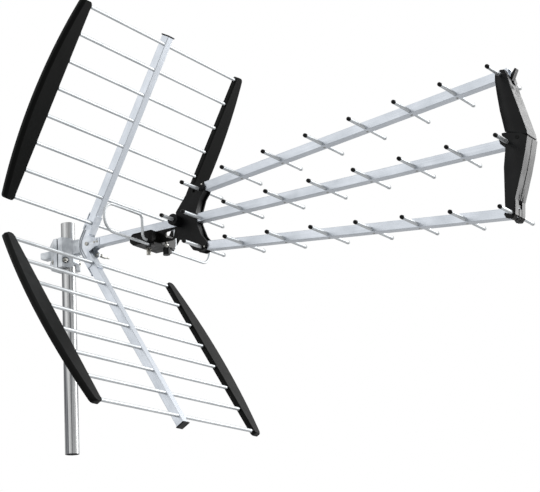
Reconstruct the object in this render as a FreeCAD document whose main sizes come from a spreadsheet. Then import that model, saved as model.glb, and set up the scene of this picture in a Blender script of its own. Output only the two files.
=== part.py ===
import FreeCAD, Part
import math
import os

from FreeCAD import Placement, Rotation, Vector

# Outdoor UHF television antenna on a short mast: three director booms held apart by a rear hub
# and a front spreader, two reflector panels, a loop dipole with its balun box, and a
# tilting mast clamp. X points along the booms, Y to the left, Z up. The origin is the centre of
# the mast's lower end. All sizes are in millimetres and degrees.

doc = FreeCAD.newDocument("outdoor_tv_antenna")
sheet = doc.addObject("Spreadsheet::Sheet", "sizes")

SIZES = [
    ("mast_length", 532),
    ("mast_radius", 16),
    ("mast_wall", 1.5),
    ("axis_height", 470),
    ("tube_wall", 1.2),
    ("fit_gap", 0.05),
    ("main_side", 20),
    ("main_start", 77),
    ("main_end_behind", 23),
    ("boom_side", 20),
    ("boom_angle", 6),
    ("boom_spread", 65.5),
    ("hub_director_place", 375),
    ("outer_boom_lead", 15),
    ("middle_boom_lag", 9),
    ("director_count", 8),
    ("director_pitch", 105),
    ("director_length", 160),
    ("rod_radius", 4),
    ("rod_sides", 8),
    ("rod_drop", 3),
    ("plug_radius", 4.7),
    ("plug_length", 3),
    ("outer_boom_tail", 15),
    ("middle_boom_tail", 36),
    ("rear_director_behind", 56),
    ("panel_angle", 60),
    ("panel_apex", 49.4),
    ("panel_rod_count", 8),
    ("panel_rod_first", 53.5),
    ("panel_rod_pitch", 62.5),
    ("panel_rod_half", 290),
    ("panel_tube_side", 20),
    ("panel_tube_behind", 5),
    ("panel_tube_start", 18),
    ("panel_tube_tail", 19),
    ("bar_inner", 278),
    ("bar_end_width", 34),
    ("bar_bow", 26),
    ("bar_start", 38),
    ("bar_end", 508),
    ("bar_depth", 21),
    ("bar_wall", 2),
    ("cradle_front", 22),
    ("tilt_place", 62.4),
    ("tongue_radius", 11),
    ("tongue_root_half", 16),
    ("sleeve_end", 72),
    ("plate_thick", 1.5),
    ("bolt_radius", 3),
    ("stud_radius", 2.5),
    ("stud_length", 40),
    ("seat_teeth", 5),
    ("tooth_depth", 1.2),
    ("hub_plate_thick", 3.5),
    ("box_length", 60),
    ("box_behind", 111),
    ("box_half", 46),
    ("box_top_drop", 16),
    ("box_bottom_drop", 41),
    ("box_wall", 2.5),
    ("dipole_ahead", 48),
    ("dipole_radius", 3),
    ("dipole_half", 196),
    ("dipole_low", 45),
    ("dipole_high", 17),
    ("dipole_inner", 30),
    ("dipole_riser", 61),
    ("dipole_corner", 10),
    ("arm_pin_ahead", 22),
    ("arm_pin_rise", 2),
    ("arm_pin_radius", 2.2),
    ("arm_wall", 3),
    ("upper_arm_half", 18.5),
    ("lower_arm_half", 24),
]

for row, (alias, number) in enumerate(SIZES, start=1):
    sheet.set("A%d" % row, alias)
    sheet.set("B%d" % row, str(number))
    sheet.setAlias("B%d" % row, alias)
doc.recompute()


def size(alias):
    return float(sheet.get(alias))


AXIS = size("axis_height")
GAP = size("fit_gap")
ROD = size("rod_radius")
BOLT = size("bolt_radius")
MAIN_HALF = size("main_side") / 2
BOOM_HALF = size("boom_side") / 2
PLATE = size("plate_thick")
SIDES = int(size("rod_sides"))
BORE = (ROD + GAP) / math.cos(math.pi / SIDES)
THROUGH = size("director_length")
HUB_X = size("hub_director_place")
REAR_X = HUB_X - size("rear_director_behind")
MAIN_END = HUB_X - size("main_end_behind")


def feature(label, shape):
    item = doc.addObject("Part::Feature", label)
    item.Label = label
    item.Shape = shape
    return item


def at_axis(shape):
    """Lift a shape drawn about the antenna's own axis to its height on the mast."""
    lifted = shape.copy()
    lifted.translate(Vector(0, 0, AXIS))
    return lifted


def side_face(points, y):
    corners = [Vector(x, y, z) for x, z in points]
    return Part.Face(Part.makePolygon(corners + corners[:1]))


def side_prism(points, y_from, y_to):
    """A prism whose outline is drawn in X and Z."""
    return side_face(points, y_from).extrude(Vector(0, y_to - y_from, 0))


def plan_prism(points, z_from, z_to):
    """A prism whose outline is drawn in X and Y."""
    corners = [Vector(x, y, z_from) for x, y in points]
    face = Part.Face(Part.makePolygon(corners + corners[:1]))
    return face.extrude(Vector(0, 0, z_to - z_from))


def block(x_from, x_to, y_from, y_to, z_from, z_to):
    corner = Vector(x_from, y_from, z_from)
    return Part.makeBox(x_to - x_from, y_to - y_from, z_to - z_from, corner)


def cross_rod(radius, x, z, y_from, y_to):
    """A cylinder along Y."""
    return Part.makeCylinder(radius, y_to - y_from, Vector(x, y_from, z), Vector(0, 1, 0))


def flat_sided(sides, radius, start, direction, length, turned=0.0):
    """A bar with a few flat sides. Its corners lie on the radius."""
    corners = []
    for index in range(sides):
        turn = math.radians(360 * index / sides + turned)
        corners.append(Vector(radius * math.cos(turn), radius * math.sin(turn), 0))
    solid = Part.Face(Part.makePolygon(corners + corners[:1])).extrude(Vector(0, 0, length))
    solid.Placement = Placement(start, Rotation(Vector(0, 0, 1), direction))
    return solid


def flat_rod(radius, x, z, y_from, y_to, sides=SIDES):
    """A bar along Y with a few flat sides."""
    return flat_sided(sides, radius, Vector(x, y_from, z), Vector(0, 1, 0), y_to - y_from)


def rod_bore(x, z):
    """The hole that a rod along Y passes through: its flats clear the rod's corners."""
    return flat_rod(BORE, x, z, -THROUGH, THROUGH)


def hexagon(across, thick, centre, direction):
    """A hexagonal head or nut standing on its centre point."""
    return flat_sided(6, across / math.sqrt(3), centre, direction, thick, 30)


def mirrored_y(shape):
    return shape.mirror(Vector(0, 0, 0), Vector(0, 1, 0))


def cylinder(label, radius, length, placement):
    """A round bar whose radius and length are bound to the sheet."""
    bar = doc.addObject("Part::Cylinder", label)
    bar.Label = label
    bar.setExpression("Radius", radius)
    bar.setExpression("Height", length)
    bar.Placement = placement
    return bar


ALONG_Y = Rotation(Vector(0, 0, 1), Vector(0, 1, 0))


def origin_plane(body, role):
    for plane in body.Origin.OriginFeatures:
        if plane.Role == role:
            return plane
    raise RuntimeError(role)


def bound_rectangle(sketch, width, height):
    """A rectangle centred on the sketch's origin, its sides bound to the sheet."""
    corners = [(-1, -1), (1, -1), (1, 1), (-1, 1)]
    first = sketch.GeometryCount
    for start, end in zip(corners, corners[1:] + corners[:1]):
        sketch.addGeometry(Part.LineSegment(Vector(start[0], start[1], 0), Vector(end[0], end[1], 0)))
    import Sketcher
    for side in range(4):
        following = first + (side + 1) % 4
        sketch.addConstraint(Sketcher.Constraint("Coincident", first + side, 2, following, 1))
    for side in (0, 2):
        sketch.addConstraint(Sketcher.Constraint("Horizontal", first + side))
        sketch.addConstraint(Sketcher.Constraint("Vertical", first + side + 1))
    centre = Sketcher.Constraint("Symmetric", first, 1, first + 1, 2, -1, 1)
    sketch.addConstraint(centre)
    wide = sketch.addConstraint(Sketcher.Constraint("DistanceX", first, 1, first, 2, 2.0))
    tall = sketch.addConstraint(Sketcher.Constraint("DistanceY", first + 1, 1, first + 1, 2, 2.0))
    sketch.setExpression("Constraints[%d]" % wide, width)
    sketch.setExpression("Constraints[%d]" % tall, height)


def bound_polygon(sketch, place, depth, radius):
    """A rod's hole in a sketch: a regular polygon with every corner bound to the sheet."""
    import Sketcher
    corners = []
    for index in range(SIDES):
        turn = 2 * math.pi * index / SIDES
        corners.append(Vector(50 + 4 * math.cos(turn), 4 * math.sin(turn) - 3, 0))
    for start, end in zip(corners, corners[1:] + corners[:1]):
        sketch.addGeometry(Part.LineSegment(start, end))
    for side, corner in enumerate(corners):
        following = (side + 1) % SIDES
        sketch.addConstraint(Sketcher.Constraint("Coincident", side, 2, following, 1))
    for side, corner in enumerate(corners):
        turned = "%d * 360 deg / sizes.rod_sides" % side
        along = Sketcher.Constraint("DistanceX", -1, 1, side, 1, corner.x)
        above = Sketcher.Constraint("DistanceY", -1, 1, side, 1, corner.y)
        place_x = "%s + %s * cos(%s)" % (place, radius, turned)
        place_y = "%s * sin(%s) - %s" % (radius, turned, depth)
        sketch.setExpression("Constraints[%d]" % sketch.addConstraint(along), place_x)
        sketch.setExpression("Constraints[%d]" % sketch.addConstraint(above), place_y)


def square_tube(label, side, length, placement, holes=None, pin=None):
    """A square tube along its own X axis, with an optional row of cross holes for rods.

    holes is (place of the first hole, depth below the axis, number of holes, pitch) and pin is
    (place, height above the axis, radius) of one more hole, as expressions on the sheet.
    """
    body = doc.addObject("PartDesign::Body", label)
    body.Label = label
    section = body.newObject("Sketcher::SketchObject", label + "_section")
    section.AttachmentSupport = [(origin_plane(body, "YZ_Plane"), "")]
    section.MapMode = "FlatFace"
    bound_rectangle(section, side, side)
    bound_rectangle(section, side + " - 2 * sizes.tube_wall", side + " - 2 * sizes.tube_wall")
    pad = body.newObject("PartDesign::Pad", label + "_wall")
    pad.Profile = section
    pad.setExpression("Length", length)
    doc.recompute()
    if holes:
        place, depth, count, pitch = holes
        drill = body.newObject("Sketcher::SketchObject", label + "_drill")
        drill.AttachmentSupport = [(origin_plane(body, "XZ_Plane"), "")]
        drill.MapMode = "FlatFace"
        bore = "(sizes.rod_radius + sizes.fit_gap) / cos(180 deg / sizes.rod_sides)"
        bound_polygon(drill, place, depth, bore)
        pocket = body.newObject("PartDesign::Pocket", label + "_holes")
        pocket.Profile = drill
        pocket.Type = "ThroughAll"
        pocket.SideType = "Symmetric"
        doc.recompute()
        row = body.newObject("PartDesign::LinearPattern", label + "_row")
        row.Originals = [pocket]
        row.Direction = (origin_plane(body, "X_Axis"), [""])
        row.setExpression("Occurrences", count)
        row.setExpression("Length", "(%s - 1) * %s" % (count, pitch))
        body.Tip = row
    if pin:
        place, height, radius = pin
        spot = body.newObject("Sketcher::SketchObject", label + "_pin_spot")
        spot.AttachmentSupport = [(origin_plane(body, "XZ_Plane"), "")]
        spot.MapMode = "FlatFace"
        bore = "(%s) / cos(180 deg / sizes.rod_sides)" % radius
        bound_polygon(spot, place, "(0 - %s)" % height, bore)
        pin_pocket = body.newObject("PartDesign::Pocket", label + "_pin_hole")
        pin_pocket.Profile = spot
        pin_pocket.Type = "ThroughAll"
        pin_pocket.SideType = "Symmetric"
        body.Tip = pin_pocket
    body.Placement = placement
    doc.recompute()
    return body


# Mast: a plain round tube, open at both ends.

mast_outer = cylinder("mast_outer", "sizes.mast_radius", "sizes.mast_length", Placement())
mast_inner = cylinder(
    "mast_inner", "sizes.mast_radius - sizes.mast_wall", "sizes.mast_length", Placement()
)
mast = doc.addObject("Part::Cut", "mast_tube")
mast.Label = "mast_tube"
mast.Base = mast_outer
mast.Tool = mast_inner

# Mast clamp: a cast cradle in front of the mast and a cast jaw behind it, drawn together by two
# bolts beside the mast. The V seat of each is cut into teeth that run along the mast.

MAST_R = size("mast_radius")
SEAT_SLOPE = math.radians(60)
V_TIP = (MAST_R + GAP) / math.sin(SEAT_SLOPE)
V_EDGE_Y = MAST_R + 1.5
V_EDGE_X = V_TIP - V_EDGE_Y / math.tan(SEAT_SLOPE)
CLAMP_TOP = 22
CLAMP_BOTTOM = -47
CLAMP_BOLT_Y = MAST_R + 10
CLAMP_BOLT_Z = -31
SPLIT = -5
CLAMP_GAP = 3
EAR_HALF = CLAMP_BOLT_Y + 7
TEETH = int(size("seat_teeth"))
TOOTH = size("tooth_depth")
BOLT_SIDES = 12


def seat_line(side):
    """Half of a V seat in plan, from its tip outwards: the teeth's points lie on the V."""
    points = [(side * V_TIP, 0)]
    for index in range(TEETH):
        for share, depth in ((index + 0.5, TOOTH), (index + 1, 0)):
            y = V_EDGE_Y * share / TEETH
            x = V_TIP - y / math.tan(SEAT_SLOPE)
            x = x + depth * math.sin(SEAT_SLOPE)
            points.append((side * x, y + depth * math.cos(SEAT_SLOPE)))
    return points


def clamp_half_plan(side, ear_x, nose_x, nose_half, shoulder_x):
    """One half of the clamp in plan: V seat, cheeks beside the mast, ears and a nose."""
    half = seat_line(side) + [
        (ear_x, V_EDGE_Y),
        (ear_x, EAR_HALF),
        (shoulder_x, EAR_HALF),
        (nose_x, nose_half),
    ]
    return half + [(x, -y) for x, y in reversed(half[1:])]


CRADLE_FRONT = size("cradle_front")
TILT_X = size("tilt_place")
TONGUE_HALF = MAIN_HALF - 2 * GAP
TONGUE_R = size("tongue_radius")
TONGUE_ROOT = size("tongue_root_half")
cradle_plan = clamp_half_plan(1, SPLIT + CLAMP_GAP / 2, CRADLE_FRONT, TONGUE_HALF, 8)
cradle = plan_prism(cradle_plan, CLAMP_BOTTOM, CLAMP_TOP)
cradle_side = side_prism(
    [
        (SPLIT, CLAMP_TOP),
        (CRADLE_FRONT - 6, CLAMP_TOP),
        (CRADLE_FRONT, CLAMP_TOP - 6),
        (CRADLE_FRONT, CLAMP_BOTTOM + 12),
        (CRADLE_FRONT - 9, CLAMP_BOTTOM),
        (SPLIT, CLAMP_BOTTOM),
    ],
    -EAR_HALF,
    EAR_HALF,
)
cradle = cradle.common(cradle_side)
tongue_plate = side_prism(
    [
        (CRADLE_FRONT - 2, TONGUE_ROOT),
        (CRADLE_FRONT + 14, TONGUE_ROOT),
        (TILT_X, TONGUE_R),
        (TILT_X, -TONGUE_R),
        (CRADLE_FRONT + 14, -TONGUE_ROOT),
        (CRADLE_FRONT - 2, -TONGUE_ROOT),
    ],
    -TONGUE_HALF,
    TONGUE_HALF,
)
tongue_end = cross_rod(TONGUE_R, TILT_X, 0, -TONGUE_HALF, TONGUE_HALF)
tilt_bore = cross_rod(BOLT + GAP, TILT_X, 0, -EAR_HALF, EAR_HALF)
cradle = cradle.fuse([tongue_plate, tongue_end]).cut(tilt_bore)

jaw_plan = clamp_half_plan(-1, SPLIT - CLAMP_GAP / 2, -46, 10, -16)
jaw = plan_prism(jaw_plan, CLAMP_BOTTOM, CLAMP_TOP)
jaw_side = side_prism(
    [
        (SPLIT, CLAMP_TOP),
        (-20, CLAMP_TOP),
        (-46, CLAMP_TOP - 7),
        (-47, 4),
        (-74, 4),
        (-74, -10),
        (-69, -13),
        (-44, -13),
        (-38, -20),
        (-46, -27),
        (-44, CLAMP_BOTTOM + 6),
        (-36, CLAMP_BOTTOM),
        (SPLIT, CLAMP_BOTTOM),
    ],
    -EAR_HALF,
    EAR_HALF,
)
jaw_tail = block(-74, -40, -10, 10, -13, 4)
jaw = jaw.common(jaw_side).fuse(jaw_tail.common(jaw_side))

clamp_bolts = []
clamp_nuts = []
CLAMP_HEAD_X = -24
CRADLE_EAR_FRONT = 8
POCKET = 8
BOLT_BORE = (BOLT + GAP) / math.cos(math.pi / BOLT_SIDES)
AHEAD = Vector(1, 0, 0)
for sign in (-1, 1):
    y = sign * CLAMP_BOLT_Y
    head_at = Vector(CLAMP_HEAD_X, y, CLAMP_BOLT_Z)
    nut_at = Vector(CRADLE_EAR_FRONT, y, CLAMP_BOLT_Z)
    behind = Vector(CLAMP_HEAD_X - 6 * POCKET, y, CLAMP_BOLT_Z)
    bolt_way = flat_sided(BOLT_SIDES, BOLT_BORE, behind, AHEAD, 12 * POCKET)
    head_room = flat_sided(BOLT_SIDES, POCKET, behind, AHEAD, 6 * POCKET + 4)
    nut_room = flat_sided(BOLT_SIDES, POCKET, nut_at, AHEAD, 6 * POCKET)
    jaw = jaw.cut([head_room, bolt_way])
    cradle = cradle.cut([bolt_way, nut_room])
    shank_run = CRADLE_EAR_FRONT + 9 - CLAMP_HEAD_X - 4
    shank_at = Vector(CLAMP_HEAD_X + 4, y, CLAMP_BOLT_Z)
    shank = flat_sided(BOLT_SIDES, BOLT, shank_at, AHEAD, shank_run)
    clamp_bolts.append(shank.fuse(hexagon(10, 4, head_at, AHEAD)))
    clamp_nuts.append(hexagon(10, 5, nut_at, AHEAD).cut(shank))
feature("clamp_cradle", at_axis(cradle))
feature("clamp_jaw", at_axis(jaw))
feature("clamp_bolts", at_axis(Part.makeCompound(clamp_bolts)))
feature("clamp_nuts", at_axis(Part.makeCompound(clamp_nuts)))

# Corner bracket: one pressed piece with two cheeks that carry the main boom between them and
# hold both reflector tubes in sleeves, and that turn about the tilt bolt on the clamp's tongue.

ANGLE = math.radians(size("panel_angle"))
APEX = size("panel_apex")
TUBE_HALF = size("panel_tube_side") / 2
TUBE_REAR = -size("panel_tube_behind") - TUBE_HALF
TUBE_FRONT = -size("panel_tube_behind") + TUBE_HALF
PANEL_FIRST = size("panel_rod_first")


def panel_point(along, ahead):
    """A point of the upper panel's side view: along its tube, and ahead of its rods."""
    return (
        APEX + along * math.cos(ANGLE) + ahead * math.sin(ANGLE),
        along * math.sin(ANGLE) - ahead * math.cos(ANGLE),
    )


def lowered(points):
    """The same outline below the boom's axis."""
    return [(x, -z) for x, z in reversed(points)]


CHEEK_IN = MAIN_HALF + GAP
CHEEK_OUT = CHEEK_IN + PLATE
CHEEK_END = PANEL_FIRST + 4.5
SLEEVE_END = size("sleeve_end")
BOOM_CHEEK_END = size("main_start") + 21
LIP = TUBE_FRONT + GAP + PLATE
upper_outline = [
    (BOOM_CHEEK_END, MAIN_HALF - 3),
    (BOOM_CHEEK_END - 3, MAIN_HALF),
    (size("main_start") + 8, MAIN_HALF),
    panel_point(size("panel_tube_start") + 8, LIP),
    panel_point(CHEEK_END, LIP),
    panel_point(CHEEK_END, TUBE_REAR + 1),
    panel_point(5, TUBE_REAR + 1),
]
cheek = side_prism(upper_outline + lowered(upper_outline), -CHEEK_OUT, -CHEEK_IN)


def rib(shift, end):
    """A pressed rib that follows the bracket's rear edge."""
    line = [panel_point(end, TUBE_REAR + 1 + shift), panel_point(6, TUBE_REAR + 1 + shift)]
    line = line + lowered(line)
    outer = [(x, z) for x, z in line]
    inner = [(x + 2.6, z) for x, z in line]
    return side_prism(outer + inner[::-1], -CHEEK_OUT - 1, -CHEEK_OUT)


cheek = cheek.fuse([rib(1.5, 44), rib(6.5, 34)])
first_rod = panel_point(PANEL_FIRST, 0)
rod_notch = []
for sign in (1, -1):
    seat = flat_rod(BORE, first_rod[0], sign * first_rod[1], -THROUGH, THROUGH)
    way_out = side_prism(
        [
            (x, sign * z)
            for x, z in (
                panel_point(PANEL_FIRST, ROD + GAP),
                panel_point(CHEEK_END + 5, ROD + GAP),
                panel_point(CHEEK_END + 5, -ROD - GAP),
                panel_point(PANEL_FIRST, -ROD - GAP),
            )
        ],
        -THROUGH,
        THROUGH,
    )
    rod_notch.extend([seat, way_out])
tilt_hole = flat_rod(BOLT_BORE, TILT_X, 0, -THROUGH, THROUGH, BOLT_SIDES)
cheek_window = block(BOOM_CHEEK_END - 7, BOOM_CHEEK_END - 4, -THROUGH, 0, 0, MAIN_HALF - 3)
cheek = cheek.cut(rod_notch + [tilt_hole, cheek_window])
front_lip = side_prism(
    [
        panel_point(size("panel_tube_start") + 12, TUBE_FRONT + GAP),
        panel_point(SLEEVE_END, TUBE_FRONT + GAP),
        panel_point(SLEEVE_END + 1, LIP + 1),
        panel_point(SLEEVE_END - 4, LIP),
        panel_point(size("panel_tube_start") + 12, LIP),
    ],
    -CHEEK_OUT,
    CHEEK_OUT,
)
rear_lip = side_prism(
    [
        panel_point(34, TUBE_REAR - GAP),
        panel_point(SLEEVE_END, TUBE_REAR - GAP),
        panel_point(SLEEVE_END, TUBE_REAR - GAP - PLATE),
        panel_point(34, TUBE_REAR - GAP - PLATE),
    ],
    -CHEEK_OUT,
    CHEEK_OUT,
)
rear_web = side_prism(
    [
        panel_point(34, TUBE_REAR + 1.5),
        panel_point(CHEEK_END, TUBE_REAR + 1.5),
        panel_point(CHEEK_END, TUBE_REAR - GAP - PLATE),
        panel_point(34, TUBE_REAR - GAP - PLATE),
    ],
    -CHEEK_OUT,
    -CHEEK_IN,
)
click_tab = side_prism(
    [
        panel_point(SLEEVE_END - 10, TUBE_REAR - GAP - PLATE),
        panel_point(SLEEVE_END + 2, TUBE_REAR - GAP - PLATE - 5),
        panel_point(SLEEVE_END + 3, TUBE_REAR - GAP - PLATE - 4),
        panel_point(SLEEVE_END - 8, TUBE_REAR - GAP),
    ],
    -5,
    5,
)
sleeve = [front_lip, rear_lip, rear_web, mirrored_y(rear_web), click_tab]
sleeve = sleeve + [shape.mirror(Vector(0, 0, 0), Vector(0, 0, 1)) for shape in sleeve]

# Below the boom the far cheek has a lug that carries a long stud with its nut.

STUD = size("stud_radius")
stud_x, stud_up = panel_point(34, LIP + 4.5)
stud_z = -stud_up
lug = side_prism(
    [
        (stud_x - 14, stud_z + 16),
        (stud_x + 1, stud_z + 8),
        (stud_x + 6, stud_z + 1),
        (stud_x + 5, stud_z - 5),
        (stud_x - 1, stud_z - 7),
        (stud_x - 14, stud_z - 4),
    ],
    CHEEK_IN,
    CHEEK_OUT,
)
stud_hole = flat_rod(BOLT_BORE * STUD / BOLT, stud_x, stud_z, 0, THROUGH, BOLT_SIDES)
bracket = cheek.fuse([mirrored_y(cheek), lug] + sleeve).cut(stud_hole)
feature("bracket", at_axis(bracket))
stud = flat_rod(STUD, stud_x, stud_z, CHEEK_IN - 0.5, CHEEK_OUT + size("stud_length"), BOLT_SIDES)
stud_head = hexagon(7.5, 3, Vector(stud_x, CHEEK_IN - 3, stud_z), Vector(0, 1, 0))
feature("bracket_stud", at_axis(stud.fuse(stud_head)))
stud_nut = hexagon(8, 14, Vector(stud_x, CHEEK_OUT + 12, stud_z), Vector(0, 1, 0))
feature("stud_nut", at_axis(stud_nut.cut(stud)))

# Tilt bolt with its wing nut, and the rivets of the main boom.

tilt_bolt = flat_rod(BOLT, TILT_X, 0, -CHEEK_OUT, CHEEK_OUT + 20, BOLT_SIDES)
tilt_head = flat_rod(4.5, TILT_X, 0, -CHEEK_OUT - 2, -CHEEK_OUT, BOLT_SIDES)
feature("tilt_bolt", at_axis(tilt_bolt.fuse(tilt_head)))
NUT_FROM = CHEEK_OUT
barrel = flat_rod(6, TILT_X, 0, NUT_FROM, NUT_FROM + 9, BOLT_SIDES)
wings = side_prism(
    [
        (TILT_X - 5, -13),
        (TILT_X + 1, -17),
        (TILT_X + 3, -12),
        (TILT_X + 5, 13),
        (TILT_X - 1, 17),
        (TILT_X - 3, 12),
    ],
    NUT_FROM + 4,
    NUT_FROM + 14,
)
wing_nut = barrel.fuse(wings).cut(flat_rod(BOLT, TILT_X, 0, 0, THROUGH, BOLT_SIDES))
feature("wing_nut", at_axis(wing_nut))

boom_rivets = []
for x in (size("main_start") + 7, size("main_start") + 15):
    head = flat_rod(2.6, x, 0, -CHEEK_OUT - 1, -CHEEK_OUT)
    boom_rivets.append(head)
    boom_rivets.append(mirrored_y(head))
feature("bracket_rivets", at_axis(Part.makeCompound(boom_rivets)))

# Main boom: the taller rear tube from the bracket to the hub.

main_boom = square_tube(
    "main_boom",
    "sizes.main_side",
    "sizes.hub_director_place - sizes.main_end_behind - sizes.main_start",
    Placement(Vector(size("main_start"), 0, AXIS), Rotation()),
    (
        "sizes.hub_director_place - sizes.rear_director_behind - sizes.main_start",
        "0.0001",
        "1",
        "sizes.director_pitch",
    ),
)

# Director booms: one level, one rising and one falling, each with a row of rods.

PITCH = size("director_pitch")
COUNT = int(size("director_count"))
SPREAD = size("boom_spread")
DROP = size("rod_drop")
PLUG = size("plug_length")
PLUG_R = size("plug_radius")
CAP_SIDES = 6
HALF_ROD = size("director_length") / 2 - PLUG
BOOMS = {
    "upper": (size("boom_angle"), SPREAD, size("outer_boom_lead"), "outer"),
    "middle": (0.0, 0.0, -size("middle_boom_lag"), "middle"),
    "lower": (-size("boom_angle"), -SPREAD, size("outer_boom_lead"), "outer"),
}


def boom_frame(name):
    """The placement whose X axis is the boom's own centre line, from its first director."""
    angle, height, lead, kind = BOOMS[name]
    return Placement(Vector(HUB_X, 0, AXIS + height), Rotation(Vector(0, 1, 0), -angle))


plugs = []
for name, (angle, height, lead, kind) in BOOMS.items():
    frame = boom_frame(name)
    tube_start = Placement(Vector(lead, 0, 0), Rotation())
    tail = "sizes.%s_boom_tail" % kind
    run = "(sizes.director_count - 1) * sizes.director_pitch"
    first_inside = 1 if kind == "outer" else 0
    begin = "sizes.outer_boom_lead"
    arm_pin = None
    if kind == "middle":
        begin = "(0 - sizes.middle_boom_lag)"
        arm_pin = (
            "%s + sizes.arm_pin_ahead + sizes.middle_boom_lag" % run,
            "sizes.arm_pin_rise",
            "sizes.arm_pin_radius + sizes.fit_gap",
        )
    square_tube(
        name + "_boom",
        "sizes.boom_side",
        "%s + %s - %s" % (run, tail, begin),
        frame.multiply(tube_start),
        (
            "%d * sizes.director_pitch - %s" % (first_inside, begin),
            "sizes.rod_drop",
            "sizes.director_count - %d" % first_inside,
            "sizes.director_pitch",
        ),
        arm_pin,
    )
    rods = []
    for index in range(COUNT):
        rods.append(flat_rod(ROD, index * PITCH, -DROP, -HALF_ROD, HALF_ROD))
        for side in (-1, 1):
            y = HALF_ROD if side > 0 else -HALF_ROD - PLUG
            plug = flat_rod(PLUG_R, index * PITCH, -DROP, y, y + PLUG, CAP_SIDES)
            plug.Placement = frame.multiply(plug.Placement)
            plugs.append(plug)
    directors = feature(name + "_directors", Part.makeCompound(rods))
    directors.Placement = frame

rear_director = doc.addObject("Part::Prism", "rear_director")
rear_director.Label = "rear_director"
rear_director.Polygon = SIDES
rear_director.setExpression("Circumradius", "sizes.rod_radius")
rear_director.setExpression("Height", "sizes.director_length - 2 * sizes.plug_length")
rear_director.Placement = Placement(Vector(REAR_X, -HALF_ROD, AXIS), ALONG_Y)
for y in (HALF_ROD, -HALF_ROD - PLUG):
    plugs.append(at_axis(flat_rod(PLUG_R, REAR_X, 0, y, y + PLUG, CAP_SIDES)))
feature("director_plugs", Part.makeCompound(plugs))

# Hub: two moulded plates about a core that plugs into the tubes, with a round boss on each
# side for the rear director.

HUB_IN = MAIN_HALF + GAP
HUB_OUT = HUB_IN + size("hub_plate_thick")


def by_knuckle(ahead, up):
    """A point of the hub's side view, from the upper boom's first director."""
    return (HUB_X + ahead, SPREAD + up)


HUB_EDGE = [
    (HUB_X - 9, MAIN_HALF + 1),
    by_knuckle(2, -24.5),
    by_knuckle(14, -9.5),
    by_knuckle(17, 0.5),
    by_knuckle(12, 9.5),
    by_knuckle(-2, 13.5),
    by_knuckle(-20, 6.5),
    (REAR_X - 6, MAIN_HALF + 12),
]
hub_foot = [(REAR_X - 6, -19), (REAR_X + 2, -SPREAD + 23.5), (REAR_X + 18, -SPREAD + 18.5)]
hub_outline = HUB_EDGE + hub_foot + lowered(HUB_EDGE[:-1])
KNUCKLE = by_knuckle(8, 0)
hub_plate = side_prism(hub_outline, -HUB_OUT, -HUB_IN)
BOSS_RADIUS = 12.5
BOSS_REACH = 36
EYE_RADIUS = 8.5
hub_boss = cross_rod(BOSS_RADIUS, REAR_X, 0, -BOSS_REACH, -HUB_OUT)
eyes = []
for sign in (1, -1):
    knuckle_z = sign * KNUCKLE[1]
    eyes.append(flat_rod(EYE_RADIUS, KNUCKLE[0], knuckle_z, -HUB_OUT - 2, -HUB_OUT, BOLT_SIDES))
TURN_SIN = math.sin(math.radians(size("boom_angle")))
TURN_COS = math.cos(math.radians(size("boom_angle")))
rods_at_hub = [
    (REAR_X, 0),
    (HUB_X + DROP * TURN_SIN, SPREAD - DROP * TURN_COS),
    (HUB_X - DROP * TURN_SIN, -SPREAD - DROP * TURN_COS),
]
PIN_RADIUS = 2.2
pins_at_hub = [(KNUCKLE[0] + 3, SPREAD + 5), (KNUCKLE[0] + 3, -SPREAD - 5)]
hub_bores = [rod_bore(x, z) for x, z in rods_at_hub]
pin_bores = [flat_rod(PIN_RADIUS, x, z, -THROUGH, THROUGH) for x, z in pins_at_hub]
square_x, square_z = by_knuckle(-12, -5.5)
square_hole = block(square_x - 3, square_x + 3, -THROUGH, THROUGH, square_z - 3, square_z + 3)
hub_near = hub_plate.fuse([hub_boss] + eyes).cut(hub_bores + pin_bores + [square_hole])
feature("hub_near", at_axis(hub_near))
feature("hub_far", at_axis(mirrored_y(hub_near)))

BOOM_SEAT = BOOM_HALF - size("tube_wall") - GAP
core_arm = side_prism(
    [
        (MAIN_END, 9),
        (MAIN_END + 11, 9),
        by_knuckle(-3, -24.5),
        by_knuckle(10, -7.5),
        by_knuckle(10, 6.5),
        by_knuckle(-3, 9.5),
        by_knuckle(-18, 3.5),
        (REAR_X + 8, MAIN_HALF + 24),
        (REAR_X + 8, MAIN_HALF + GAP),
        (MAIN_END, MAIN_HALF + GAP),
    ],
    -HUB_IN,
    HUB_IN,
)
bridge = block(MAIN_END + GAP, MAIN_END + 11, -HUB_IN, HUB_IN, -10, 10)
core_parts = [core_arm.mirror(Vector(0, 0, 0), Vector(0, 0, 1)), bridge]
for name in ("upper", "lower"):
    stub = block(6, 44, -BOOM_SEAT, BOOM_SEAT, -BOOM_SEAT, BOOM_SEAT)
    stub.Placement = boom_frame(name).multiply(stub.Placement)
    stub.translate(Vector(0, 0, -AXIS))
    core_parts.append(stub)
core_parts.append(block(MAIN_END + 5, MAIN_END + 40, -BOOM_SEAT, BOOM_SEAT, -BOOM_SEAT, BOOM_SEAT))
middle_rod = rod_bore(HUB_X, -DROP)
core = core_arm.fuse(core_parts).cut(hub_bores + pin_bores + [middle_rod, square_hole])
feature("hub_core", at_axis(core))

hub_pins = [flat_rod(PIN_RADIUS, x, z, -HUB_OUT - 3, HUB_OUT + 3) for x, z in pins_at_hub]
feature("hub_pins", at_axis(Part.makeCompound(hub_pins)))

# Spreader: an upper channel and a lower pair of shells that clip over the last directors.

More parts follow.
